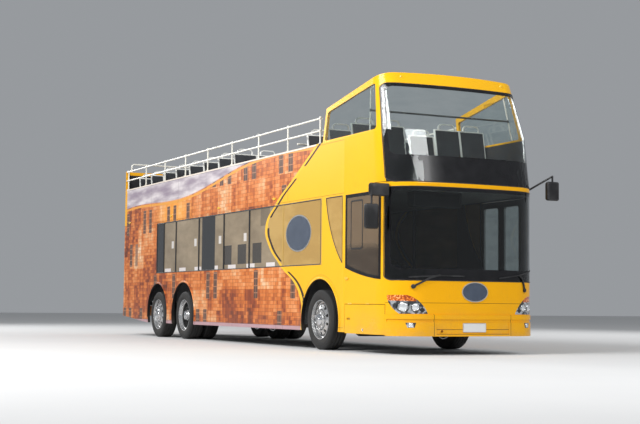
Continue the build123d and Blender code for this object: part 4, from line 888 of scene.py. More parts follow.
@finish()
def bellows_rubber(g):
    """Air spring rubber with moulded rings."""
    return *with_dust(g, (0.018, 0.018, 0.018), 0.7, 0.9, 1.2), g.bump(g.sine(g.z, 260.0), 0.6, 0.003)


@finish()
def deck_seat_shell(g):
    """Weatherproof moulded seats: a grained dark shell with seams and white enamelled hoops."""
    shell = g.mix(g.rise(g.noise(5.0), 0.35, 0.7), (0.011, 0.013, 0.017), (0.024, 0.027, 0.034))
    wide = g.size(g.y)
    edges = [g.within(wide, *span) for span in ((0.262, 0.284), (0.694, 0.730), (1.140, 1.165))]
    edge = g.most(*edges, g.rise(g.z, 3.362, 3.364))
    hoop = g.most(g.rise(g.z, 3.3815, 3.3825), g.mul(edge, g.rise(g.z, 2.86, 2.865)))
    seam = g.mul(g.lines(g.z, (2.98, 3.10, 3.22), 0.003), g.flip(hoop))
    color = g.over(shell, (hoop, (0.74, 0.74, 0.70)), (g.mul(seam, 0.7), (0.008, 0.008, 0.01)))
    grain = g.use("fine grain", Scale=520.0, Depth=0.3)[0]
    return color, g.lerp(hoop, 0.48, 0.25), g.bump(seam, -0.5, 0.003, grain)


@finish(**{"Sheen Weight": 0.5})
def saloon_seat_cloth(g):
    """Moquette: deep blue pile with small ochre and pale flecks in a woven repeat."""
    weave = g.use("cloth weave", Scale=190.0)
    pile = g.mix(weave["Mask"], (0.016, 0.024, 0.062), (0.036, 0.05, 0.12))
    tint = g.ramp(g.noise(11.0, 0.0), (0.4, (0.42, 0.24, 0.04)), (0.6, (0.30, 0.34, 0.44)))
    color = g.over(pile, (g.rise(g.cells(26.0), 0.30, 0.22), tint),
                   (g.mul(g.rise(g.noise(3.5), 0.5, 0.75), 0.25), (0.13, 0.14, 0.18)))
    return color, 0.92, weave["Normal"]


@finish()
def dash_plastic(g):
    """Dash moulding."""
    worn = g.rise(g.noise(2.6, 4.0), 0.45, 0.7)
    return (g.mix(worn, (0.032, 0.032, 0.035), (0.055, 0.053, 0.052)), g.lerp(worn, 0.62, 0.48),
            g.use("fine grain", Scale=380.0, Depth=0.35)[0])


@finish(**GLOSS)
def rail_paint(g):
    """Cream white enamelled tube, chipped a little where hands hold it, with a dark bar behind the screen."""
    chips = g.rise(g.noise(34.0, 4.0, 0.7), 0.70, 0.74)
    color = g.mix(g.mul(g.rise(g.noise(3.0, 4.0), 0.42, 0.7), 0.22), (0.80, 0.78, 0.70), (0.48, 0.42, 0.32))
    dark_bar = g.mul(g.within(g.z, 3.46, 3.505), g.within(g.x, 5.19, 5.25), g.within(g.y, -1.20, 1.20))
    return (g.mix(g.most(chips, dark_bar), color, (0.10, 0.10, 0.10)), g.lerp(chips, 0.26, 0.6),
            g.bump(chips, -0.3, 0.0006))


@finish(**LENS)
def lamp_lens(g):
    """The headlamps' moulded reflectors: silver mottled with painted dark and bright reflections, with fine flutes,
    painted shade round and inside the bowls, an amber upper outer corner and a dark wedge between the bowls."""
    wide = g.size(g.y)
    # Painted reflection: the silver is mottled between near black and bright.
    silver_and_painted_reflections = g.mix(g.rise(g.noise(14.0, 2.0), 0.42, 0.58), (0.10, 0.105, 0.11), (0.90, 0.92, 0.94))
    # Painted shade: a dark ring round each bowl's edge and a dark middle in each bowl.
    painted_shade_hollows = []
    for across, up, r in BOWLS:
        edge = g.sub(g.reach(g.sub(wide, across), g.sub(g.z, up)), r)
        painted_shade_hollows += [g.within(edge, -0.004, 0.006), g.rise(edge, -r * 0.62, -r * 0.72)]
    fog = g.mul(g.rise(g.z, 0.46, 0.455), g.rise(wide, 0.93, 0.925))
    amber = g.mul(g.rise(g.sub(g.z, g.mul(g.sub(wide, 0.90), 0.02)), 0.744, 0.748), g.rise(wide, 0.884, 0.888))
    glow = g.ramp(g.cells(42.0), (0.15, (0.95, 0.62, 0.30)), (0.35, (0.85, 0.20, 0.008)), (0.75, (0.30, 0.045, 0.004)))
    wedge = g.rise(g.add(g.size(g.sub(wide, 0.806)), g.mul(g.size(g.sub(g.z, 0.625)), 1.2)), 0.050, 0.044)
    color = g.over(silver_and_painted_reflections, (g.most(*painted_shade_hollows), (0.02, 0.02, 0.024)), (fog, (0.03, 0.03, 0.032)), (amber, glow),
                   (wedge, (0.02, 0.02, 0.022)))
    return (color, g.lerp(amber, 0.12, 0.06), g.bump(g.mul(g.sine(wide, 900.0), amber), 0.3, 0.001),
            g.mul(g.flip(g.most(amber, wedge, fog)), 0.85))


@finish(**{"Coat Weight": 0.6, "Coat Roughness": 0.03})
def red_lens(g):
    """Moulded tail-lamp lenses: the lowest red, the middle amber, the upper red, with a pyramid pattern."""
    grid = g.mul(g.sine(g.y, 700.0), g.sine(g.z, 700.0))
    return (g.mix(g.within(g.z, 0.975, 1.105), (0.42, 0.008, 0.008), (0.75, 0.22, 0.01)),
            g.lerp(g.rise(grid, -0.2, 0.2), 0.08, 0.16), g.bump(grid, 0.4, 0.001))


@finish()
def black_trim(g):
    """Moulded black trim, faded a little in places."""
    fade = g.rise(g.noise(4.0), 0.4, 0.75)
    return (g.mix(fade, (0.010, 0.010, 0.011), (0.03, 0.03, 0.032)), g.lerp(fade, 0.34, 0.55),
            g.use("fine grain", Scale=600.0, Depth=0.2)[0])


@finish(**GLOSS)
def door_paint(g):
    """Door leaves in gloss black enamel."""
    paint = g.use("paint finish")
    return *with_dust(g, (0.012, 0.012, 0.013), paint["Roughness"], 0.7, 1.2), paint["Normal"]


@finish()
def tyre_rubber(g):
    """Tyre rubber: grooves round the tread and across its shoulders, painted darker as shade, raised rings on the
    side wall and dust that lies thicker near the bead."""
    radius, angle = g.use("wheel place")
    tread = g.rise(radius, TYRE_R - 0.006, TYRE_R - 0.003)
    grooves = g.mul(g.rise(g.sine(g.y, 150.0), 0.72, 0.88), tread)
    blocks = g.mul(g.rise(g.sine(angle, 96.0), 0.70, 0.85), g.rise(radius, 0.425, 0.432))
    wall = g.mul(g.rise(g.sine(radius, 420.0), 0.3, 0.7), g.within(radius, 0.315, 0.425, 0.004))
    dust = g.mul(g.rise(g.noise(8.0, 5.0), 0.35, 0.7), g.rise(radius, 0.45, 0.33), 0.55)
    # Painted shade: the grooves round the tread and across the shoulders are painted near black.
    color = g.over((0.012, 0.012, 0.012), (g.most(grooves, g.mul(blocks, 0.8)), (0.003, 0.003, 0.003)),
                   (g.mul(dust, 0.5), (0.09, 0.078, 0.065)), (g.mul(tread, 0.25), (0.05, 0.046, 0.042)))
    height = g.sub(g.mul(wall, 0.35), g.most(grooves, g.mul(blocks, 0.7)))
    return color, g.lerp(dust, 0.68, 0.9), g.bump(height, 0.8, 0.004)


@finish()
def wheel_silver(g):
    """Silver painted steel, with brake dust thrown out from the hub, two dark rings of painted shade and rust spots.
    """
    radius = g.use("wheel place")[0]
    grime = g.mul(g.rise(g.noise(13.0, 5.0, 0.65), 0.42, 0.72), g.rise(radius, 0.30, 0.10), 0.7)
    seat = g.mul(g.within(radius, 0.118, 0.132, 0.004), 0.4)
    # Painted shade: the two dark rings, one just outside the nut circle and one farther out on the disc.
    rings = g.most(g.within(radius, 0.225, 0.262, 0.006), g.within(radius, 0.150, 0.166, 0.004))
    spots = g.rise(g.noise(90.0), 0.71, 0.75)
    color = g.over((0.62, 0.62, 0.62), (g.most(grime, seat), (0.05, 0.04, 0.034)),
                   (g.mul(rings, 0.75), (0.02, 0.02, 0.02)), (spots, (0.20, 0.08, 0.03)))
    return color, g.lerp(grime, 0.24, 0.6), g.bump(spots, -0.2, 0.0005), g.mul(g.flip(grime), 0.9)


# ---- Finishes of the new pieces ----


@finish("black_trim", **{"Specular IOR Level": 0.3})
def screen_black(g):
    """Fired-on black round a screen, under the glass's gloss."""
    tone = g.noise(6.0)
    return g.mix(tone, (0.006, 0.006, 0.007), (0.016, 0.016, 0.018)), g.lerp(tone, 0.10, 0.2)


@finish("black_trim")
def seal_rubber(g):
    """Window rubber, bloomed grey in places."""
    bloom = g.rise(g.noise(12.0, 4.0), 0.45, 0.75)
    return (g.mix(bloom, (0.010, 0.010, 0.010), (0.035, 0.034, 0.032)), g.lerp(bloom, 0.5, 0.75),
            g.bump(g.noise(300.0), 0.1, 0.0005))


@finish("lamp_lens", Metallic=0.5, **LENS)
def lens_clear(g):
    """Clear moulded lens over a bright bowl: fine upright flutes."""
    return (g.mix(g.noise(30.0), (0.66, 0.69, 0.72), (0.92, 0.94, 0.96)), 0.06,
            g.bump(g.sine(g.y, 480.0), 0.35, 0.0012))


@finish("red_lens", **LENS)
def amber_lens(g):
    """Amber moulded lens with a pyramid pattern."""
    grid = g.mul(g.sine(g.x, 600.0), g.sine(g.z, 600.0))
    return g.mix(g.rise(grid, -0.3, 0.3), (0.86, 0.40, 0.012), (0.98, 0.62, 0.05)), 0.12, g.bump(grid, 0.3, 0.0008)


@finish("wheel_silver", Metallic=1.0)
def bezel_chrome(g):
    """Bright plated metal with a little dullness."""
    dull = g.rise(g.noise(18.0, 4.0), 0.4, 0.75)
    return g.mix(dull, (0.74, 0.75, 0.77), (0.42, 0.41, 0.39)), g.lerp(dull, 0.12, 0.4)


@finish("lamp_lens", Metallic=1.0)
def mirror_glass(g):
    """Silvered glass, a little smeared."""
    smear = g.rise(g.noise(2.0, stretch=(3.0, 3.0, 9.0)), 0.45, 0.8)
    return g.mix(smear, (0.86, 0.88, 0.90), (0.74, 0.76, 0.78)), g.lerp(smear, 0.02, 0.14)


@finish("black_trim", **LENS)
def plate_white(g):
    """A blank reflective plate: bead texture under a clear face."""
    beads = g.cells(900.0)
    return g.mix(beads, (0.78, 0.78, 0.76), (0.66, 0.66, 0.65)), 0.3, g.bump(beads, 0.1, 0.0004)


@finish("black_trim", **LENS)
def badge_blue(g):
    """Enamelled disc, dark slate blue with a soft cloud."""
    cloud = g.noise(9.0)
    return g.mix(cloud, (0.030, 0.045, 0.075), (0.07, 0.09, 0.13)), g.lerp(cloud, 0.15, 0.3)


@finish("wheel_silver", Metallic=0.8)
def badge_rim(g):
    """Pale brushed rim of badges and plates."""
    brush = g.noise(1.0, stretch=(40.0, 400.0, 40.0))
    return g.mix(brush, (0.46, 0.45, 0.42), (0.66, 0.64, 0.60)), g.lerp(brush, 0.25, 0.45)


@finish("dash_plastic")
def blind(g):
    """The destination blind: dark woven cloth, left blank."""
    weave = g.use("cloth weave", Scale=300.0)
    return g.mix(weave["Mask"], (0.010, 0.010, 0.011), (0.03, 0.03, 0.032)), 0.8, weave["Normal"]


# CAD nodes that wear another finish than their slot's
OTHER_FINISH = {"windscreen": "windscreen_glass", "rear_end": "rear_paint", "rear_bumper": "rear_paint",
                "door_glass_front": "clear_glass", "door_glass_rear": "clear_glass"}


class BUS_OT_finishes(bpy.types.Operator):
    """Build the procedural materials and give each CAD part its own."""
    bl_idname = "bus.finishes"
    bl_label = "Finishes"

    def execute(self, context):
        for name, made in EFFECTS.items():
            make_group(name, *made)
        for name, (build, _, constants) in FINISHES.items():
            MADE[name] = material(name.replace("_", " "), build, constants)
        for part in frame["record"]["subparts"]:
            look = MADE[OTHER_FINISH.get(part["node"], part["material_slot"])]
            materials = frame["nodes"][part["node"]].data.materials
            for slot in range(max(len(materials), 1)):
                if slot < len(materials):
                    materials[slot] = look
                else:
                    materials.append(look)
        return {"FINISHED"}


# ---- New pieces ----

# Screens: half width, levels, the lower one's dark edge over the dash and the corners' radii
SCREEN_HALF = 1.213
SCREEN_Z = (1.040, 2.335)
SCREEN_DASH_Z = 1.197
SCREEN_R, SCREEN_INNER_R = 0.06, (0.08, 0.08, 0.10, 0.10)
UPPER_SCREEN_R, UPPER_SCREEN_INNER_R, UPPER_RUBBER_LOOP_R = 0.07, 0.08, 0.075
UPPER_SCREEN_Z = (2.412, 3.850)
UPPER_SCREEN_LEVELS = ((2.412, 1.205), (3.160, 1.205), (3.850, 1.135))
UPPER_BAND_Z = 2.79
BAND_LIFT = 0.0025
SCREEN_RUBBER_R = 0.007
RUBBER_OUT = 0.004


def upper_screen_loop(inset, low, high, r):
    """The upper windscreen's outline drawn in by an inset: a rounded rectangle of half width one, widened at
    each level to the screen's half width there."""
    loop = rounded_loop(-1.0, 1.0, low, high, r)
    half = np.interp(loop[:, 1], *zip(*UPPER_SCREEN_LEVELS)) - inset
    return np.stack([loop[:, 0] * half, loop[:, 1]], -1)


class BUS_OT_screens(bpy.types.Operator):
    """Add the black borders and rubber of both windscreens."""
    bl_idname = "bus.screens"
    bl_label = "Screen borders"

    def execute(self, context):
        border = context.scene.bus_sizes.border
        place = face_place(off=-0.001)
        low_outer = rounded_loop(-SCREEN_HALF, SCREEN_HALF, *SCREEN_Z, SCREEN_R)
        low_inner = rounded_loop(border - SCREEN_HALF, SCREEN_HALF - border, SCREEN_DASH_Z, SCREEN_Z[1] - border,
                                 SCREEN_INNER_R)
        add_piece("windscreen_border", band(low_outer, low_inner, place, BAND_LIFT), "screen_black")
        up_outer = upper_screen_loop(0.0, *UPPER_SCREEN_Z, UPPER_SCREEN_R)
        up_inner = upper_screen_loop(border, UPPER_BAND_Z, UPPER_SCREEN_Z[1] - border, UPPER_SCREEN_INNER_R)
        add_piece("upper_screen_border", band(up_outer, up_inner, place, BAND_LIFT), "screen_black")
        low_rubber = rounded_loop(-SCREEN_HALF - RUBBER_OUT, SCREEN_HALF + RUBBER_OUT, SCREEN_Z[0] - RUBBER_OUT,
                                  SCREEN_Z[1] + RUBBER_OUT, SCREEN_R + RUBBER_OUT)
        up_rubber = upper_screen_loop(-RUBBER_OUT, UPPER_SCREEN_Z[0] - RUBBER_OUT, UPPER_SCREEN_Z[1] + RUBBER_OUT,
                                      UPPER_RUBBER_LOOP_R)
        rubbers = []
        for loop in (low_rubber, up_rubber):
            points, ahead = face_spot(loop[:, 0], loop[:, 1])
            rubbers.append(swept(points, round_section(SCREEN_RUBBER_R), closed=True, up=ahead))
        add_piece("screen_rubbers", joined(rubbers), "seal_rubber", smooth=60)
        return {"FINISHED"}


# Side windows: the saloon panes' edges along the bus, their sill and top
PANE_EDGES = np.cumsum((-3.825, 0.444, 0.700, 1.262, 1.248, 1.164, 1.382, 1.415))
PILLAR = 0.05
SILL_Z, WINDOW_TOP_Z = 1.300, 2.297
PANE_R = 0.04
GLASS_SET_IN = 0.004
SEAL_SET_IN = 0.001
QUARTER_X = (3.940, 4.485)
QUARTER_SWEEP = 0.32
LEFT_SPLIT_X = 4.420
DRIVER_X = (4.590, 5.635)
DRIVER_SILL_Z = (1.230, 1.050)
DRIVER_SILL_DIP = 0.1
# The driver's sliding pane: its frame's outer and inner edges along and up, and their corners' radii
SLIDER_OUTER, SLIDER_OUTER_R = (4.755, 5.125, 1.489, 2.205), 0.035
SLIDER_INNER, SLIDER_INNER_R = (4.775, 5.105, 1.509, 2.185), 0.025


def side_tube(loop, side, radius):
    """A flattened rubber strip that follows a loop of (along, up) points on a side."""
    return swept(side_place(side, SEAL_SET_IN)(loop, 0.0), round_section(radius) * (1.0, 0.6), closed=True,
                 up=(0, side, 0))


def swept_corner_loop():
    """The quarter light's outline: straight top and front edges and a rear edge on the circle through its two
    ends and the point that its sweep passes."""
    low = np.array((QUARTER_X[1], SILL_Z))
    high = np.array((QUARTER_X[0], WINDOW_TOP_Z))
    sweep_at = np.array((QUARTER_X[0] + QUARTER_SWEEP * (QUARTER_X[1] - QUARTER_X[0]),
                         (SILL_Z + WINDOW_TOP_Z) / 2 - 0.02))
    sides = 2 * np.array((high - low, sweep_at - low))
    middle = np.linalg.solve(sides, np.array((high @ high - low @ low, sweep_at @ sweep_at - low @ low)))
    turn = np.unwrap([math.atan2(*(point - middle)[::-1]) for point in (low, sweep_at, high)])
    angle = np.linspace(turn[0], turn[2], 24)
    arc = middle + np.linalg.norm(low - middle) * np.stack([np.cos(angle), np.sin(angle)], -1)
    top = high + (np.array((QUARTER_X[1], WINDOW_TOP_Z)) - high) * np.linspace(0, 1, 13)[1:, None]
    front = top[-1] + (low - top[-1]) * np.linspace(0, 1, 15)[1:-1, None]
    return np.concatenate([arc, top, front])


def driver_window_loop(inset):
    """The driver's window drawn in by an inset: its sill dips towards the front."""
    x0, x1 = DRIVER_X[0] + inset, DRIVER_X[1] - inset
    share = np.linspace(0, 1, 16)
    sill_z = (DRIVER_SILL_Z[0] + inset + (DRIVER_SILL_Z[1] - DRIVER_SILL_Z[0]) * share
              - DRIVER_SILL_DIP * share * (1 - share))
    top = WINDOW_TOP_Z - inset
    x = [x0 + (x1 - x0) * share, np.full(15, x1), np.linspace(x1, x0, 16)[1:], np.full(14, x0)]
    z = [sill_z, np.linspace(sill_z[-1], top, 16)[1:], np.full(15, top), np.linspace(top, sill_z[0], 16)[1:-1]]
    return np.stack([np.concatenate(x), np.concatenate(z)], -1)


def nose_side_place(loop, height):
    """Places on the right side where it may run round the nose's corner: the side's distance across follows
    the corner's circle ahead of its centre."""
    corner_x = COWL_X - NOSE_BOW_R + math.sqrt((NOSE_BOW_R - NOSE_CORNER_R) ** 2 - (SIDE_Y - NOSE_CORNER_R) ** 2)
    ahead = np.clip(loop[:, 0] - corner_x, 0, NOSE_CORNER_R)
    y = SIDE_Y - NOSE_CORNER_R + np.sqrt(NOSE_CORNER_R ** 2 - ahead ** 2)
    return xyz(loop[:, 0], -(y + height), loop[:, 1])


class BUS_OT_side_windows(bpy.types.Operator):
    """Add the rubber round each side window, the left quarter pane, the driver's sliding frame and the clear
    panes' tints."""
    bl_idname = "bus.side_windows"
    bl_label = "Side windows"

    def execute(self, context):
        seal = context.scene.bus_sizes.seal
        outline = rounded_loop(PANE_EDGES[0] + PILLAR / 2, PANE_EDGES[-1] - PILLAR / 2, SILL_Z, WINDOW_TOP_Z, PANE_R,
                               steps=5)
        quarter = swept_corner_loop()
        left_quarter = np.minimum(quarter, (LEFT_SPLIT_X - 0.002, np.inf))
        strips = []
        for side, quarter_loop in ((-1, quarter), (1, left_quarter)):
            strips += [side_tube(loop, side, seal / 2) for loop in (outline, quarter_loop)]
            for x in PANE_EDGES[1:-2]:
                for edge in (x - PILLAR / 2, x + PILLAR / 2):
                    y = side * (SIDE_Y - SEAL_SET_IN)
                    strips.append(tube(xyz(edge, y, np.array((SILL_Z, WINDOW_TOP_Z))), seal / 3))
        add_piece("quarter_pane_left", patch(left_quarter, side_place(1, GLASS_SET_IN + 0.005), 0.005),
                  "tinted_glass")
        add_piece("side_window_seals", joined(strips), "seal_rubber", smooth=60)
        frame_band = band(driver_window_loop(-0.002), driver_window_loop(0.045), nose_side_place, 0.004)
        add_piece("driver_window_frame", frame_band, "screen_black")
        slider, inner = (rounded_loop(*edges, r, steps=5, runs=4)
                         for edges, r in ((SLIDER_OUTER, SLIDER_OUTER_R), (SLIDER_INNER, SLIDER_INNER_R)))
        add_piece("driver_window_slider", band(slider, inner, side_place(-1, GLASS_SET_IN), 0.007), "black_trim")
        glass = frame["nodes"]["saloon_glass"].data
        glass.materials.append(MADE["tan_glass"])
        glass.materials.append(MADE["dark_glass"])
        centres = np.empty(len(glass.polygons) * 3)
        glass.polygons.foreach_get("center", centres)
        along = centres[::3]
        shown = np.where(along > DRIVER_X[0] - 0.02, 1, np.where(along < TAIL_X + 0.1, 2, 0))
        glass.polygons.foreach_set("material_index", shown.astype(np.int32))
        return {"FINISHED"}


# Arch lips: how far they stand out, the rear axles' shared post and how high the tag arch's rear end stops
LIP_PROUD = 0.014
DRIVE_TAG_SPLIT = (AXLES["drive"] + AXLES["tag"]) / 2
SPLIT_HALF = 0.006
TAG_END_RISE = 0.115


class BUS_OT_arches(bpy.types.Operator):
    """Add the raised lips round the wheel arches."""
    bl_idname = "bus.arches"
    bl_label = "Arch lips"

    def execute(self, context):
        width = context.scene.bus_sizes.lip
        turn = np.linspace(0, np.pi, 12)
        section = np.stack([width / 2 * np.cos(turn), LIP_PROUD * np.sin(turn) ** 0.6], -1)
        section = np.concatenate([section, [(-width / 2, -0.003), (width / 2, -0.003)]])
        lips = []
        for x, z, r in ARCHES:
            lip_r = r + width / 2 - 0.002
            rear_foot = SKIRT_Z + (TAG_END_RISE if x == AXLES["tag"] else 0.002)
            start, end = (math.asin((level - z) / lip_r) for level in (rear_foot, SKIRT_Z + 0.002))
            angle = np.linspace(math.pi - start, end, 61)
            along = x + lip_r * np.cos(angle)
            if x == AXLES["drive"]:
                angle = angle[along > DRIVE_TAG_SPLIT + SPLIT_HALF]
            elif x == AXLES["tag"]:
                angle = angle[along < DRIVE_TAG_SPLIT - SPLIT_HALF]
            for side in (-1, 1):
                path = xyz(x + lip_r * np.cos(angle), side * SIDE_Y, z + lip_r * np.sin(angle))
                lips.append(bar(path, section[::-1], (0, side, 0)))
        add_piece("arch_lips", joined(lips), "side_film", smooth=50)
        return {"FINISHED"}


# Lamps: place across, height and radius
FOG_Y, FOG_Z, FOG_R = 0.9615, 0.415, 0.027
TOP_MARKER_Y, TOP_MARKER_Z, TOP_MARKER_R = 0.86, 3.955, 0.020
TAIL_LAMPS_Y, TAIL_LAMPS_Z, TAIL_BEZEL_R = 1.040, (0.900, 1.040, 1.180), 0.055
# Side markers: places along both sides, their level, the right side's low one ahead of them, and their half size
MARKERS_X, MARKERS_Z = (-5.620, -2.986, -0.427, 2.029), 2.42
LOW_MARKER = (4.642, 1.074)
MARKER_HALF = (0.058, 0.021)


class BUS_OT_lamps(bpy.types.Operator):
    """Add the headlamps' lenses and bezels, fog lenses, marker lamps and tail-lamp bezels."""
    bl_idname = "bus.lamps"
    bl_label = "Lamps"

    def execute(self, context):
        lenses, bezels, ambers = [], [], []
        for side in (-1, 1):
            for y, z, r in BOWLS:
                at, out = face_spot(side * y, z, -0.008)
                lenses.append(dome(at, out, r - 0.006, 0.014))
                bezels.append(ring(face_spot(side * y, z, -0.002)[0], out, r - 0.003, 0.005))
                bezels.append(ring(face_spot(side * y, z, -0.006)[0], out, r * 0.55, 0.004))
            at, out = face_spot(side * FOG_Y, FOG_Z, 0.0, COWL_SET_BACK)
            lenses.append(dome(at, out, FOG_R, 0.010))
            bezels.append(ring(at, out, FOG_R + 0.003, 0.004))
            ambers.append(dome(*face_spot(side * TOP_MARKER_Y, TOP_MARKER_Z), TOP_MARKER_R, 0.012))
        add_piece("lamp_lenses", joined(lenses), "lens_clear", smooth=40)
        for y in (-TAIL_LAMPS_Y, TAIL_LAMPS_Y):
            bezels += [ring((TAIL_X, y, z), (-1, 0, 0), TAIL_BEZEL_R, 0.006) for z in TAIL_LAMPS_Z]
        add_piece("lamp_bezels", joined(bezels), "bezel_chrome", smooth=60)
        marks = [(side, (x, MARKERS_Z)) for x in MARKERS_X for side in (-1, 1)] + [(-1, LOW_MARKER)]
        ambers += [patch(oval(*MARKER_HALF, middle), side_place(side), 0.014) for side, middle in marks]
        add_piece("side_markers", joined(ambers), "amber_lens", smooth=40)
        return {"FINISHED"}


# Number plates: extents across and up, and the front one's rim and recess
PLATE_Y, PLATE_Z = (-0.185, 0.196), (0.318, 0.448)
REAR_PLATE_Y, REAR_PLATE_Z = (-0.26, 0.26), (0.44, 0.55)
PLATE_THICK = 0.006
PLATE_RIM = 0.007
RECESS = 0.008
# Oval badges: middle and half size
NOSE_BADGE, NOSE_BADGE_HALF = (0.021, 0.880), (0.205, 0.130)
SIDE_BADGE, SIDE_BADGE_HALF = (2.96, 1.81), (0.450, 0.275)


def oval_rim(half, middle, place, out, thick):
    """The rim of an oval badge: it covers the badge's edge and stands out past it."""
    outer, inner = (oval(half[0] + past, half[1] + past, middle) for past in (out, -0.002))
    return band(outer, inner, place, thick)


class BUS_OT_plates(bpy.types.Operator):
    """Add the blank number plates and the plain oval badges."""
    bl_idname = "bus.plates"
    bl_label = "Plates and badges"

    def execute(self, context):
        loop = rounded_loop(*PLATE_Y, *PLATE_Z, 0.012, runs=10)
        inner = rounded_loop(PLATE_Y[0] + PLATE_RIM, PLATE_Y[1] - PLATE_RIM, PLATE_Z[0] + PLATE_RIM,
                             PLATE_Z[1] - PLATE_RIM, 0.006, runs=10)
        add_piece("front_plate", patch(loop, face_place(COWL_SET_BACK, -RECESS), PLATE_THICK), "plate_white")
        rims = [band(loop, inner, face_place(COWL_SET_BACK, -RECESS + 0.005), 0.003)]
        seen_behind = rounded_loop(*REAR_PLATE_Y, *REAR_PLATE_Z, 0.012, runs=10) * (-1, 1)
        add_piece("rear_plate", patch(seen_behind, cross_place(TAIL_X - 0.002), PLATE_THICK), "plate_white")
        nose = face_place()
        add_piece("nose_badge", patch(oval(*NOSE_BADGE_HALF, NOSE_BADGE), nose, 0.005), "badge_blue")
        rims.append(oval_rim(NOSE_BADGE_HALF, NOSE_BADGE, nose, 0.011, 0.008))
        for side, word in SIDES[::-1]:
            pane = side_place(side, GLASS_SET_IN)
            add_piece(f"side_badge_{word}", patch(oval(*SIDE_BADGE_HALF, SIDE_BADGE), pane, 0.003), "badge_blue")
            rims.append(oval_rim(SIDE_BADGE_HALF, SIDE_BADGE, pane, 0.018, 0.0045))
        add_piece("plate_and_badge_rims", joined(rims), "badge_rim", smooth=40)
        return {"FINISHED"}


# The tyre's outer half: distance out from the tread's middle as a share of the half width, and radius
TYRE_PROFILE = (
    (0.815, 0.2880), (0.850, 0.3020), (0.905, 0.3120), (0.955, 0.3280), (0.985, 0.3480), (0.985, 0.3560),
    (1.000, 0.3660), (1.000, 0.3820), (0.990, 0.4000), (0.962, 0.4160), (0.962, 0.4200), (0.930, 0.4340),
    (0.880, 0.4470), (0.830, 0.4540), (0.800, 0.4560), (0.640, 0.4575), (0.632, 0.4470), (0.585, 0.4470),
    (0.577, 0.4578), (0.235, 0.4580), (0.227, 0.4470), (0.180, 0.4470), (0.172, 0.4580),
)
TYRE_SEGMENTS = 90
HUB_NUTS = 10
NUT = ((0.0, 0.021), (0.004, 0.021), (0.006, 0.0165), (0.022, 0.0165), (0.026, 0.009), (0.030, 0.007), (0.031, 0.0))
HUB_CAP = ((0.0, 0.088), (0.010, 0.088), (0.022, 0.080), (0.026, 0.060), (0.026, 0.030), (0.030, 0.026),
           (0.032, 0.0))
# The nuts' place out from the wheel's middle, their circle's radius, and the cap's place, on a dished or plain rim
DISHED_RIM = (-0.1495, 0.140, 0.080)
PLAIN_RIM = (0.118, 0.1475, 0.134)


def tyre_shape(x, y):
    """A tyre with side wall steps and four grooves round its tread: one profile turned round the axle."""
    outer = [(share * TYRE_HALF, r) for share, r in TYRE_PROFILE]
    points, faces = turned(outer + [(-a, r) for a, r in reversed(outer)], TYRE_SEGMENTS, closed=True)
    return points + (x, y, TYRE_R), faces[:, ::-1]


def hub_shape(x, side, nut_place, nut_circle, cap_place):
    """A ring of flanged nuts with domed ends and a hub cap, made for the left side and mirrored for the right."""
    turns = [2 * math.pi * (k + 0.5) / HUB_NUTS for k in range(HUB_NUTS)]
    shapes = [moved(turned(NUT, 6), (nut_circle * math.cos(a), nut_place, nut_circle * math.sin(a))) for a in turns]
    hub = joined([*shapes, turned([(out + cap_place, r) for out, r in HUB_CAP], 32)])
    return moved(hub if side > 0 else flipped(hub), (x, side * WHEEL_Y, TYRE_R))


class BUS_OT_wheels(bpy.types.Operator):
    """Replace the plain tyres by grooved ones and add the nuts and hub caps."""
    bl_idname = "bus.wheels"
    bl_label = "Wheels"

    def execute(self, context):
        for name, x in AXLES.items():
            rows, rim = ((WHEEL_Y, TWIN_Y), DISHED_RIM) if name == "drive" else ((WHEEL_Y,), PLAIN_RIM)
            for side, word in SIDES:
                body = f"wheel_{name}_{word}"
                tyre = add_piece(f"grooved_tyre_{name}_{word}", joined([tyre_shape(x, side * y) for y in rows]),
                                 "tyre_rubber", body, smooth=45)
                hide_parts(f"tyre_{name}_{word}")
                add_piece(f"hub_and_nuts_{name}_{word}", hub_shape(x, side, *rim), "bezel_chrome", body, smooth=35)
        return {"FINISHED"}


# Wipers: arms and blades as (across, up) points on the face
WIPER_ARMS = (((-0.930, 0.950), (-0.832, 1.002), (-0.697, 1.072), (-0.540, 1.112)),
              ((0.910, 0.920), (0.884, 1.002), (0.857, 1.084), (0.800, 1.122)))
WIPER_BLADES = (((-0.985, 1.078), (-0.540, 1.104), (-0.160, 1.100)),
                ((1.085, 1.205), (0.800, 1.130), (0.430, 1.080)))


def on_face_strip(path, half, near, far, count=40):
    """A bar of rectangular section along a smoothed path on the face, between two distances off it."""
    path = np.asarray(path)
    share = np.linspace(0, len(path) - 1, count)
    flat = np.stack([np.interp(share, np.arange(len(path)), path[:, k]) for k in (0, 1)], -1)
    for _ in range(6):
        flat[1:-1] = (flat[:-2] + 2 * flat[1:-1] + flat[2:]) / 4
    run = np.gradient(flat, axis=0)
    across = half * np.stack([-run[:, 1], run[:, 0]], -1) / np.linalg.norm(run, axis=1)[:, None]
    rows = [on_face(*(flat + side * across).T, off) for side, off in ((-1, near), (1, near), (1, far), (-1, far))]
    return capped(surface(np.stack(rows, 1), wrap_columns=True), count, len(rows))


class BUS_OT_wiper_parts(bpy.types.Operator):
    """Add the wipers' broad arm covers, their blades' rubber and the hub caps."""
    bl_idname = "bus.wiper_parts"
    bl_label = "Wiper covers"

    def execute(self, context):
        shapes = [on_face_strip(path, 0.0125, 0.012, 0.023) for path in WIPER_ARMS]
        shapes += [on_face_strip(path, 0.009, 0.002, 0.016) for path in WIPER_BLADES]
        shapes += [dome(*face_spot(*path[0], 0.022), 0.030, 0.010, rim=0.018) for path in WIPER_ARMS]
        add_piece("wiper_covers", joined(shapes), "black_trim", smooth=40)
        return {"FINISHED"}


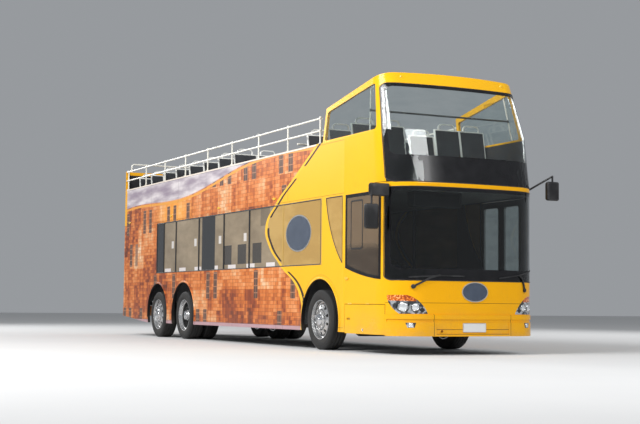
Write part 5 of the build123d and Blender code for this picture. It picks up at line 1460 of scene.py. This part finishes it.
# Mirrors: the housings' rear face along the bus, and their extents across and up
MIRRORS = ((5.725, (-1.560, -1.350), (1.740, 2.090)), (5.935, (1.350, 1.560), (2.240, 2.520)))
MIRROR_BOX_X, MIRROR_BOX_Z = 5.755, 2.290
MIRROR_BOX_Y = (-1.200, -1.230, -1.40, -1.466, -1.478)
MIRROR_BOX_END = 0.86


class BUS_OT_mirrors(bpy.types.Operator):
    """Add the mirrors' glasses and housings' rims and the bracket box of the right mirror."""
    bl_idname = "bus.mirrors"
    bl_label = "Mirrors"

    def execute(self, context):
        glasses, rims = [], []
        for x, (y0, y1), (z0, z1) in MIRRORS:
            place = cross_place(x - 0.0005)
            outer, inner = (rounded_loop(y0 + inset, y1 - inset, z0 + inset, z1 - inset, r, steps=6, runs=3)
                            for inset, r in ((0.008, 0.03), (0.018, 0.022)))
            glasses.append(patch(inner, place, 0.002, rings=3))
            rims.append(band(outer, inner, place, 0.006))
        path = xyz(MIRROR_BOX_X, np.array(MIRROR_BOX_Y), MIRROR_BOX_Z)
        loop = rounded_loop(-0.090, 0.090, -0.050, 0.050, 0.026, steps=5, runs=2)
        points, faces = swept(path, loop, up=(1, 0, 0))
        points[-len(loop):] = path[-1] + (points[-len(loop):] - path[-1]) * MIRROR_BOX_END
        add_piece("mirror_arm_box", capped((points, faces), len(path), len(loop)), "black_trim", smooth=40)
        add_piece("mirror_glasses", joined(glasses), "mirror_glass")
        add_piece("mirror_rims", joined(rims), "black_trim")
        return {"FINISHED"}


# Seats: the saloon's pairs, with their places along the bus and levels, as the solids have them
SEAT_W, SEAT_GAP, SEAT_DEPTH, SEAT_LEAN = 0.440, 0.006, 0.430, 0.110
SEAT_Y = 0.269
PAIR_W = 2 * SEAT_W + SEAT_GAP
SEAT_H, SEAT_BACK_H = 0.430, 0.560
LOW_FLOOR_Z, BOX_TOP_Z = 0.420, 1.125
LOW_SEATS_X = {"left": (2.620, 1.860, 1.100, 0.340), "right": (0.900, 0.140)}
BOX_SEATS_X = (-1.925, -3.025, -3.785)
# A seat's shell in side view: place behind the cushion's front, and height over the cushion's
SHELL_BEND = ((0.004, -0.052), (-0.01, -0.058), (-0.2, -0.062), (0.02 - SEAT_DEPTH, -0.062),
              (-SEAT_DEPTH - 0.025, -0.03), (-SEAT_DEPTH - 0.05, 0.05), (-SEAT_DEPTH - SEAT_LEAN - 0.034, SEAT_BACK_H))
SHELL_UP = (-0.3, 0, 1)


def seat_cushions(x, z, side):
    """A pair's cushions and backs: crowned pads, the backs turned by the back's lean."""
    lean = math.degrees(math.atan2(SEAT_LEAN, SEAT_BACK_H))
    seat = turned_about(pillow(SEAT_DEPTH - 0.02, SEAT_W - 0.012, 0.085), -3.0, "Y")
    back = turned_about(pillow(SEAT_BACK_H - 0.03, SEAT_W - 0.014, 0.070, 0.25), 90.0 - lean, "Y")
    shapes = []
    for k in (0, 1):
        y = side * (SEAT_Y + SEAT_W / 2 + k * (SEAT_W + SEAT_GAP))
        shapes += [moved(seat, (x - SEAT_DEPTH / 2, y, z + SEAT_H - 0.012)),
                   moved(back, (x - SEAT_DEPTH - SEAT_LEAN / 2 - 0.012, y, z + SEAT_H + SEAT_BACK_H / 2 - 0.008))]
    return joined(shapes)


def seat_frames(x, z, side):
    """A pair's shells, pedestal and grab loops: a shell is a sheet bent along the seat's side view; a loop is a
    tube over the back."""
    shapes = []
    bend = np.array(SHELL_BEND) + (x, z + SEAT_H)
    sheet = rounded_loop(-SEAT_W / 2 + 0.004, SEAT_W / 2 - 0.004, -0.008, 0.008, 0.0075, steps=3, runs=2)
    arch = np.linspace(0, np.pi, 17)
    for k in (0, 1):
        middle = side * (SEAT_Y + SEAT_W / 2 + k * (SEAT_W + SEAT_GAP))
        shapes.append(bar(xyz(bend[:, 0], middle, bend[:, 1]), sheet, SHELL_UP))
        hoop = xyz(x - SEAT_DEPTH - SEAT_LEAN - 0.014, middle + 0.135 * np.cos(arch),
                   z + SEAT_H + SEAT_BACK_H + 0.07 * np.sin(arch))
        legs = hoop[[0, -1]] - (0, 0, 0.10)
        shapes.append(bar(np.concatenate([legs[:1], hoop, legs[1:]]), round_section(0.011, 10)))
    foot = rounded_loop(-0.022, 0.022, -0.05, 0.05, 0.02, steps=3, runs=1)
    for y in (side * (SEAT_Y + 0.12), side * (SEAT_Y + PAIR_W - 0.12)):
        leg = ((x - 0.20, y, z + 0.001), (x - 0.21, y, z + 0.15), (x - 0.23, y, z + SEAT_H - 0.065))
        shapes.append(bar(leg, foot))
    for behind in (0.13, 0.34):
        ends = side * (SEAT_Y + np.array((0.012, PAIR_W - 0.012)))
        shapes.append(tube(xyz(x - behind, ends, z + SEAT_H - 0.075), 0.014))
    return joined(shapes)


class BUS_OT_saloon_seats(bpy.types.Operator):
    """Replace the saloon's plain seats by cushions in seat cloth on shells with grab loops."""
    bl_idname = "bus.saloon_seats"
    bl_label = "Saloon seats"

    def execute(self, context):
        for side, word in SIDES:
            places = [(x, LOW_FLOOR_Z) for x in LOW_SEATS_X[word]] + [(x, BOX_TOP_Z) for x in BOX_SEATS_X]
            pads = add_piece(f"saloon_cushions_{word}", joined([seat_cushions(x, z, side) for x, z in places]),
                             "saloon_seat_cloth", smooth=180)
            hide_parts(f"saloon_seats_{word}")
            shells = add_piece(f"saloon_seat_shells_{word}", joined([seat_frames(x, z, side) for x, z in places]),
                               "dash_plastic", smooth=40)
            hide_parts(f"saloon_seats_{word}")
        return {"FINISHED"}


# The driver's seat: its place, and each pad's size, turn and place from it
CAB_SEAT = np.array((4.645, -0.720, 0.820))
CAB_PADS = (((0.50, 0.47, 0.12), -2.0, (0.225, 0, 0.055)), ((0.62, 0.46, 0.12), 80.0, (-0.048, 0, 0.345)),
            ((0.19, 0.26, 0.085), 84.0, (-0.105, 0, 0.725)))
CAB_SHELL = ((0.46, 0, -0.002), (0.2, 0, -0.008), (0.02, 0, 0.002), (-0.055, 0, 0.05), (-0.135, 0, 0.60))
CAB_POST_X = 0.23


class BUS_OT_driver_seat(bpy.types.Operator):
    """Replace the driver's plain seat by a cushion, back and headrest on a shell and pedestal."""
    bl_idname = "bus.driver_seat"
    bl_label = "Driver's seat"

    def execute(self, context):
        pads = [moved(turned_about(pillow(*size), angle, "Y"), CAB_SEAT + place) for size, angle, place in CAB_PADS]
        cushions = add_piece("driver_cushions", joined(pads), "saloon_seat_cloth", smooth=180)
        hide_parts("driver_seat")
        plate = rounded_loop(-0.225, 0.225, -0.012, 0.012, 0.011, steps=3, runs=2)
        levels = np.array((LOW_FLOOR_Z + 0.001, LOW_FLOOR_Z + 0.2, CAB_SEAT[2] - 0.01))
        post = rounded_loop(-0.15, 0.15, -0.14, 0.14, 0.03, steps=4, runs=1)
        shapes = [bar(CAB_SEAT + CAB_SHELL, plate, SHELL_UP),
                  bar(xyz(CAB_SEAT[0] + CAB_POST_X, CAB_SEAT[1], levels), post)]
        shapes += [tube(CAB_SEAT + ((-0.10, dy, 0.60), (-0.108, dy, 0.72)), 0.007) for dy in (-0.06, 0.06)]
        base = add_piece("driver_seat_shell", joined(shapes), "dash_plastic", smooth=40)
        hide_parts("driver_seat")
        return {"FINISHED"}


# Rails: posts along the bus, place across, levels and radius, and the coping that the posts stand on
RAIL_XS = np.linspace(3.668, -5.845, 9)
RAIL_Y, RAIL_LEVELS, RAIL_R = 1.225, (3.362, 3.554), 0.016
RAIL_FOOT_Z = 3.1605
COLLAR = ((-0.028, RAIL_R), (-0.028, 0.022), (0.028, 0.022), (0.028, RAIL_R))
RAIL_FOOT = ((0.0, 0.0), (0.0, 0.034), (0.008, 0.034), (0.014, 0.018), (0.014, 0.0))
LATCH = (5.135, -SIDE_Y, 0.330)
BLIND_X = 5.700
BLIND_Y, BLIND_Z = (-0.754, 0.004), (2.102, 2.284)


class BUS_OT_trim(bpy.types.Operator):
    """Add the rails' collars and feet, the flap's latch and the destination blind."""
    bl_idname = "bus.trim"
    bl_label = "Small trim"

    def execute(self, context):
        collar, foot = turned(COLLAR, 16, "x", closed=True), turned(RAIL_FOOT, 20, "z")
        collars = []
        for x in RAIL_XS:
            for y in (RAIL_Y, -RAIL_Y):
                collars += [moved(collar, (x, y, z)) for z in RAIL_LEVELS] + [moved(foot, (x, y, RAIL_FOOT_Z))]
        add_piece("rail_collars", joined(collars), "rail_paint", smooth=40)
        latch = [dome(LATCH, (0, -1, 0), 0.016, 0.006), ring(LATCH, (0, -1, 0), 0.018, 0.003, segments=20)]
        add_piece("flap_latch", joined(latch), "bezel_chrome", "service_flap", smooth=40)
        sheet = rounded_loop(*BLIND_Y, *BLIND_Z, 0.01, steps=3, runs=6)
        add_piece("destination_blind", patch(sheet, cross_place(BLIND_X, 1), 0.004, rings=3), "blind")
        return {"FINISHED"}


# ---- Studio ----

FLOOR_HALF, FLOOR_STEPS = 60.0, 13
SKY_COLOR, SKY_STRENGTH = (0.86, 0.90, 0.95, 1.0), 0.36
LAMPS = (
    # name, place, aim, size, power in watts, whether reflections show it
    ("key light", (7.0, -14.0, 12.0), (1.0, -1.0, 1.5), (9.0, 6.0), 3300.0, True),
    ("front light", (17.0, 1.0, 9.0), (5.0, 0.0, 2.0), (6.0, 5.0), 850.0, True),
    ("far side light", (-4.0, 14.0, 9.0), (0.0, 0.0, 2.0), (12.0, 6.0), 900.0, False),
    ("rear light", (-15.0, -5.0, 8.0), (-4.0, 0.0, 2.0), (8.0, 5.0), 900.0, True),
)


def camera_matrix():
    """The camera's place and turn: it looks along -X turned by the yaw towards +Y, up by the pitch, then rolls."""
    yaw, pitch, roll = np.radians(CAMERA_TURN)
    look = Vector((-math.cos(yaw) * math.cos(pitch), math.sin(yaw) * math.cos(pitch), math.sin(pitch)))
    right = look.cross(Vector((0, 0, 1))).normalized()
    up = right.cross(look)
    right, up = (math.cos(roll) * right + math.sin(roll) * up, math.cos(roll) * up - math.sin(roll) * right)
    turn = Matrix((right, up, -look)).transposed()
    return Matrix.Translation(Vector(CAMERA_PLACE)) @ turn.to_4x4()


def studio_floor(g):
    """A pale matt floor with a faint cloudiness."""
    return g.mix(g.noise(0.35), (0.60, 0.60, 0.60), (0.66, 0.66, 0.655)), 0.85


def soft_light(scene, name, place, aim, size, power, mirrored):
    """A large soft lamp aimed at a point, seen in reflections or not."""
    lamp = bpy.data.objects.new(name, bpy.data.lights.new(name, "AREA"))
    lamp.data.shape = "RECTANGLE"
    lamp.data.size, lamp.data.size_y = size
    lamp.data.energy = power
    turn = (Vector(aim) - Vector(place)).to_track_quat("-Z", "Y").to_matrix().to_4x4()
    lamp.matrix_world = Matrix.Translation(Vector(place)) @ turn
    lamp.visible_glossy = mirrored
    scene.collection.objects.link(lamp)


class BUS_OT_stage(bpy.types.Operator):
    """Add the pale floor, the soft studio light and the photograph's camera."""
    bl_idname = "bus.stage"
    bl_label = "Studio"

    def execute(self, context):
        scene = context.scene
        steps = np.linspace(-FLOOR_HALF, FLOOR_HALF, FLOOR_STEPS)
        points, faces = surface(xyz(*np.meshgrid(steps, steps), 0.0))
        mesh = bpy.data.meshes.new("floor")
        mesh.from_pydata(points.tolist(), [], faces.tolist())
        mesh.materials.append(material("studio floor", studio_floor, {}))
        floor = bpy.data.objects.new("floor", mesh)
        scene.collection.objects.link(floor)
        world = bpy.data.worlds.new("soft sky")
        world.use_nodes = True
        sky = world.node_tree.nodes["Background"].inputs
        sky[0].default_value, sky[1].default_value = SKY_COLOR, SKY_STRENGTH
        scene.world = world
        scene.view_settings.view_transform = "Standard"
        for lamp in LAMPS:
            soft_light(scene, *lamp)
        camera = bpy.data.objects.new("camera", bpy.data.cameras.new("camera"))
        camera.data.lens = CAMERA_LENS
        camera.data.sensor_width = CAMERA_SENSOR
        camera.matrix_world = camera_matrix()
        scene.collection.objects.link(camera)
        scene.camera = camera
        return {"FINISHED"}


# ---- Settings, panel and registration ----


class BUS_PG_colors(bpy.types.PropertyGroup):
    """The paint colours that a user would change."""
    body: bpy.props.FloatVectorProperty(
        name="Body yellow", description="Coach paint on the sides", default=(0.90, 0.47, 0.010), size=3,
        subtype="COLOR", min=0.0, max=1.0)
    nose: bpy.props.FloatVectorProperty(
        name="Nose yellow", description="Deeper coach paint on the front and the rear corners",
        default=(0.86, 0.41, 0.003), size=3, subtype="COLOR", min=0.0, max=1.0)


class BUS_PG_sizes(bpy.types.PropertyGroup):
    """The sizes of the added trim that a user would change."""
    seal: bpy.props.FloatProperty(
        name="Window seal", description="Width of the rubber round a saloon window", default=0.016, min=0.004,
        max=0.03, subtype="DISTANCE", unit="LENGTH")
    border: bpy.props.FloatProperty(
        name="Screen border", description="Width of the black border round the windscreen", default=0.045,
        min=0.02, max=0.12, subtype="DISTANCE", unit="LENGTH")
    lip: bpy.props.FloatProperty(
        name="Arch lip", description="Width of the raised lip round a wheel arch", default=0.034, min=0.01,
        max=0.06, subtype="DISTANCE", unit="LENGTH")


class BUS_PT_panel(bpy.types.Panel):
    """The bus's sizes, colours and pieces in the sidebar."""
    bl_idname = "BUS_PT_panel"
    bl_label = "Open top bus"
    bl_space_type = "VIEW_3D"
    bl_region_type = "UI"
    bl_category = "Bus"

    def draw(self, context):
        for group in (context.scene.bus_colors, context.scene.bus_sizes):
            for name in group.__annotations__:
                self.layout.prop(group, name)
        for operator in PIECES:
            self.layout.operator(operator.bl_idname)


PIECES = (BUS_OT_finishes, BUS_OT_screens, BUS_OT_side_windows, BUS_OT_arches, BUS_OT_lamps, BUS_OT_plates,
          BUS_OT_wheels, BUS_OT_wiper_parts, BUS_OT_mirrors, BUS_OT_saloon_seats, BUS_OT_driver_seat, BUS_OT_trim,
          BUS_OT_stage)
CLASSES = (BUS_PG_colors, BUS_PG_sizes, *PIECES, BUS_PT_panel)


def register():
    """Register the add-on's classes and its settings."""
    for cls in CLASSES:
        bpy.utils.register_class(cls)
    bpy.types.Scene.bus_colors = bpy.props.PointerProperty(type=BUS_PG_colors)
    bpy.types.Scene.bus_sizes = bpy.props.PointerProperty(type=BUS_PG_sizes)


def unregister():
    """Remove the add-on's settings and classes."""
    del bpy.types.Scene.bus_sizes
    del bpy.types.Scene.bus_colors
    for cls in reversed(CLASSES):
        bpy.utils.unregister_class(cls)


def main():
    """Finish the bus and set its studio."""
    register()
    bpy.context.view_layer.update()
    bpy.ops.bus.finishes()
    bpy.ops.bus.screens()
    bpy.ops.bus.side_windows()
    bpy.ops.bus.arches()
    bpy.ops.bus.lamps()
    bpy.ops.bus.plates()
    bpy.ops.bus.wheels()
    bpy.ops.bus.wiper_parts()
    bpy.ops.bus.mirrors()
    bpy.ops.bus.saloon_seats()
    bpy.ops.bus.driver_seat()
    bpy.ops.bus.trim()
    bpy.ops.bus.stage()


if __name__ == "__main__":
    main()
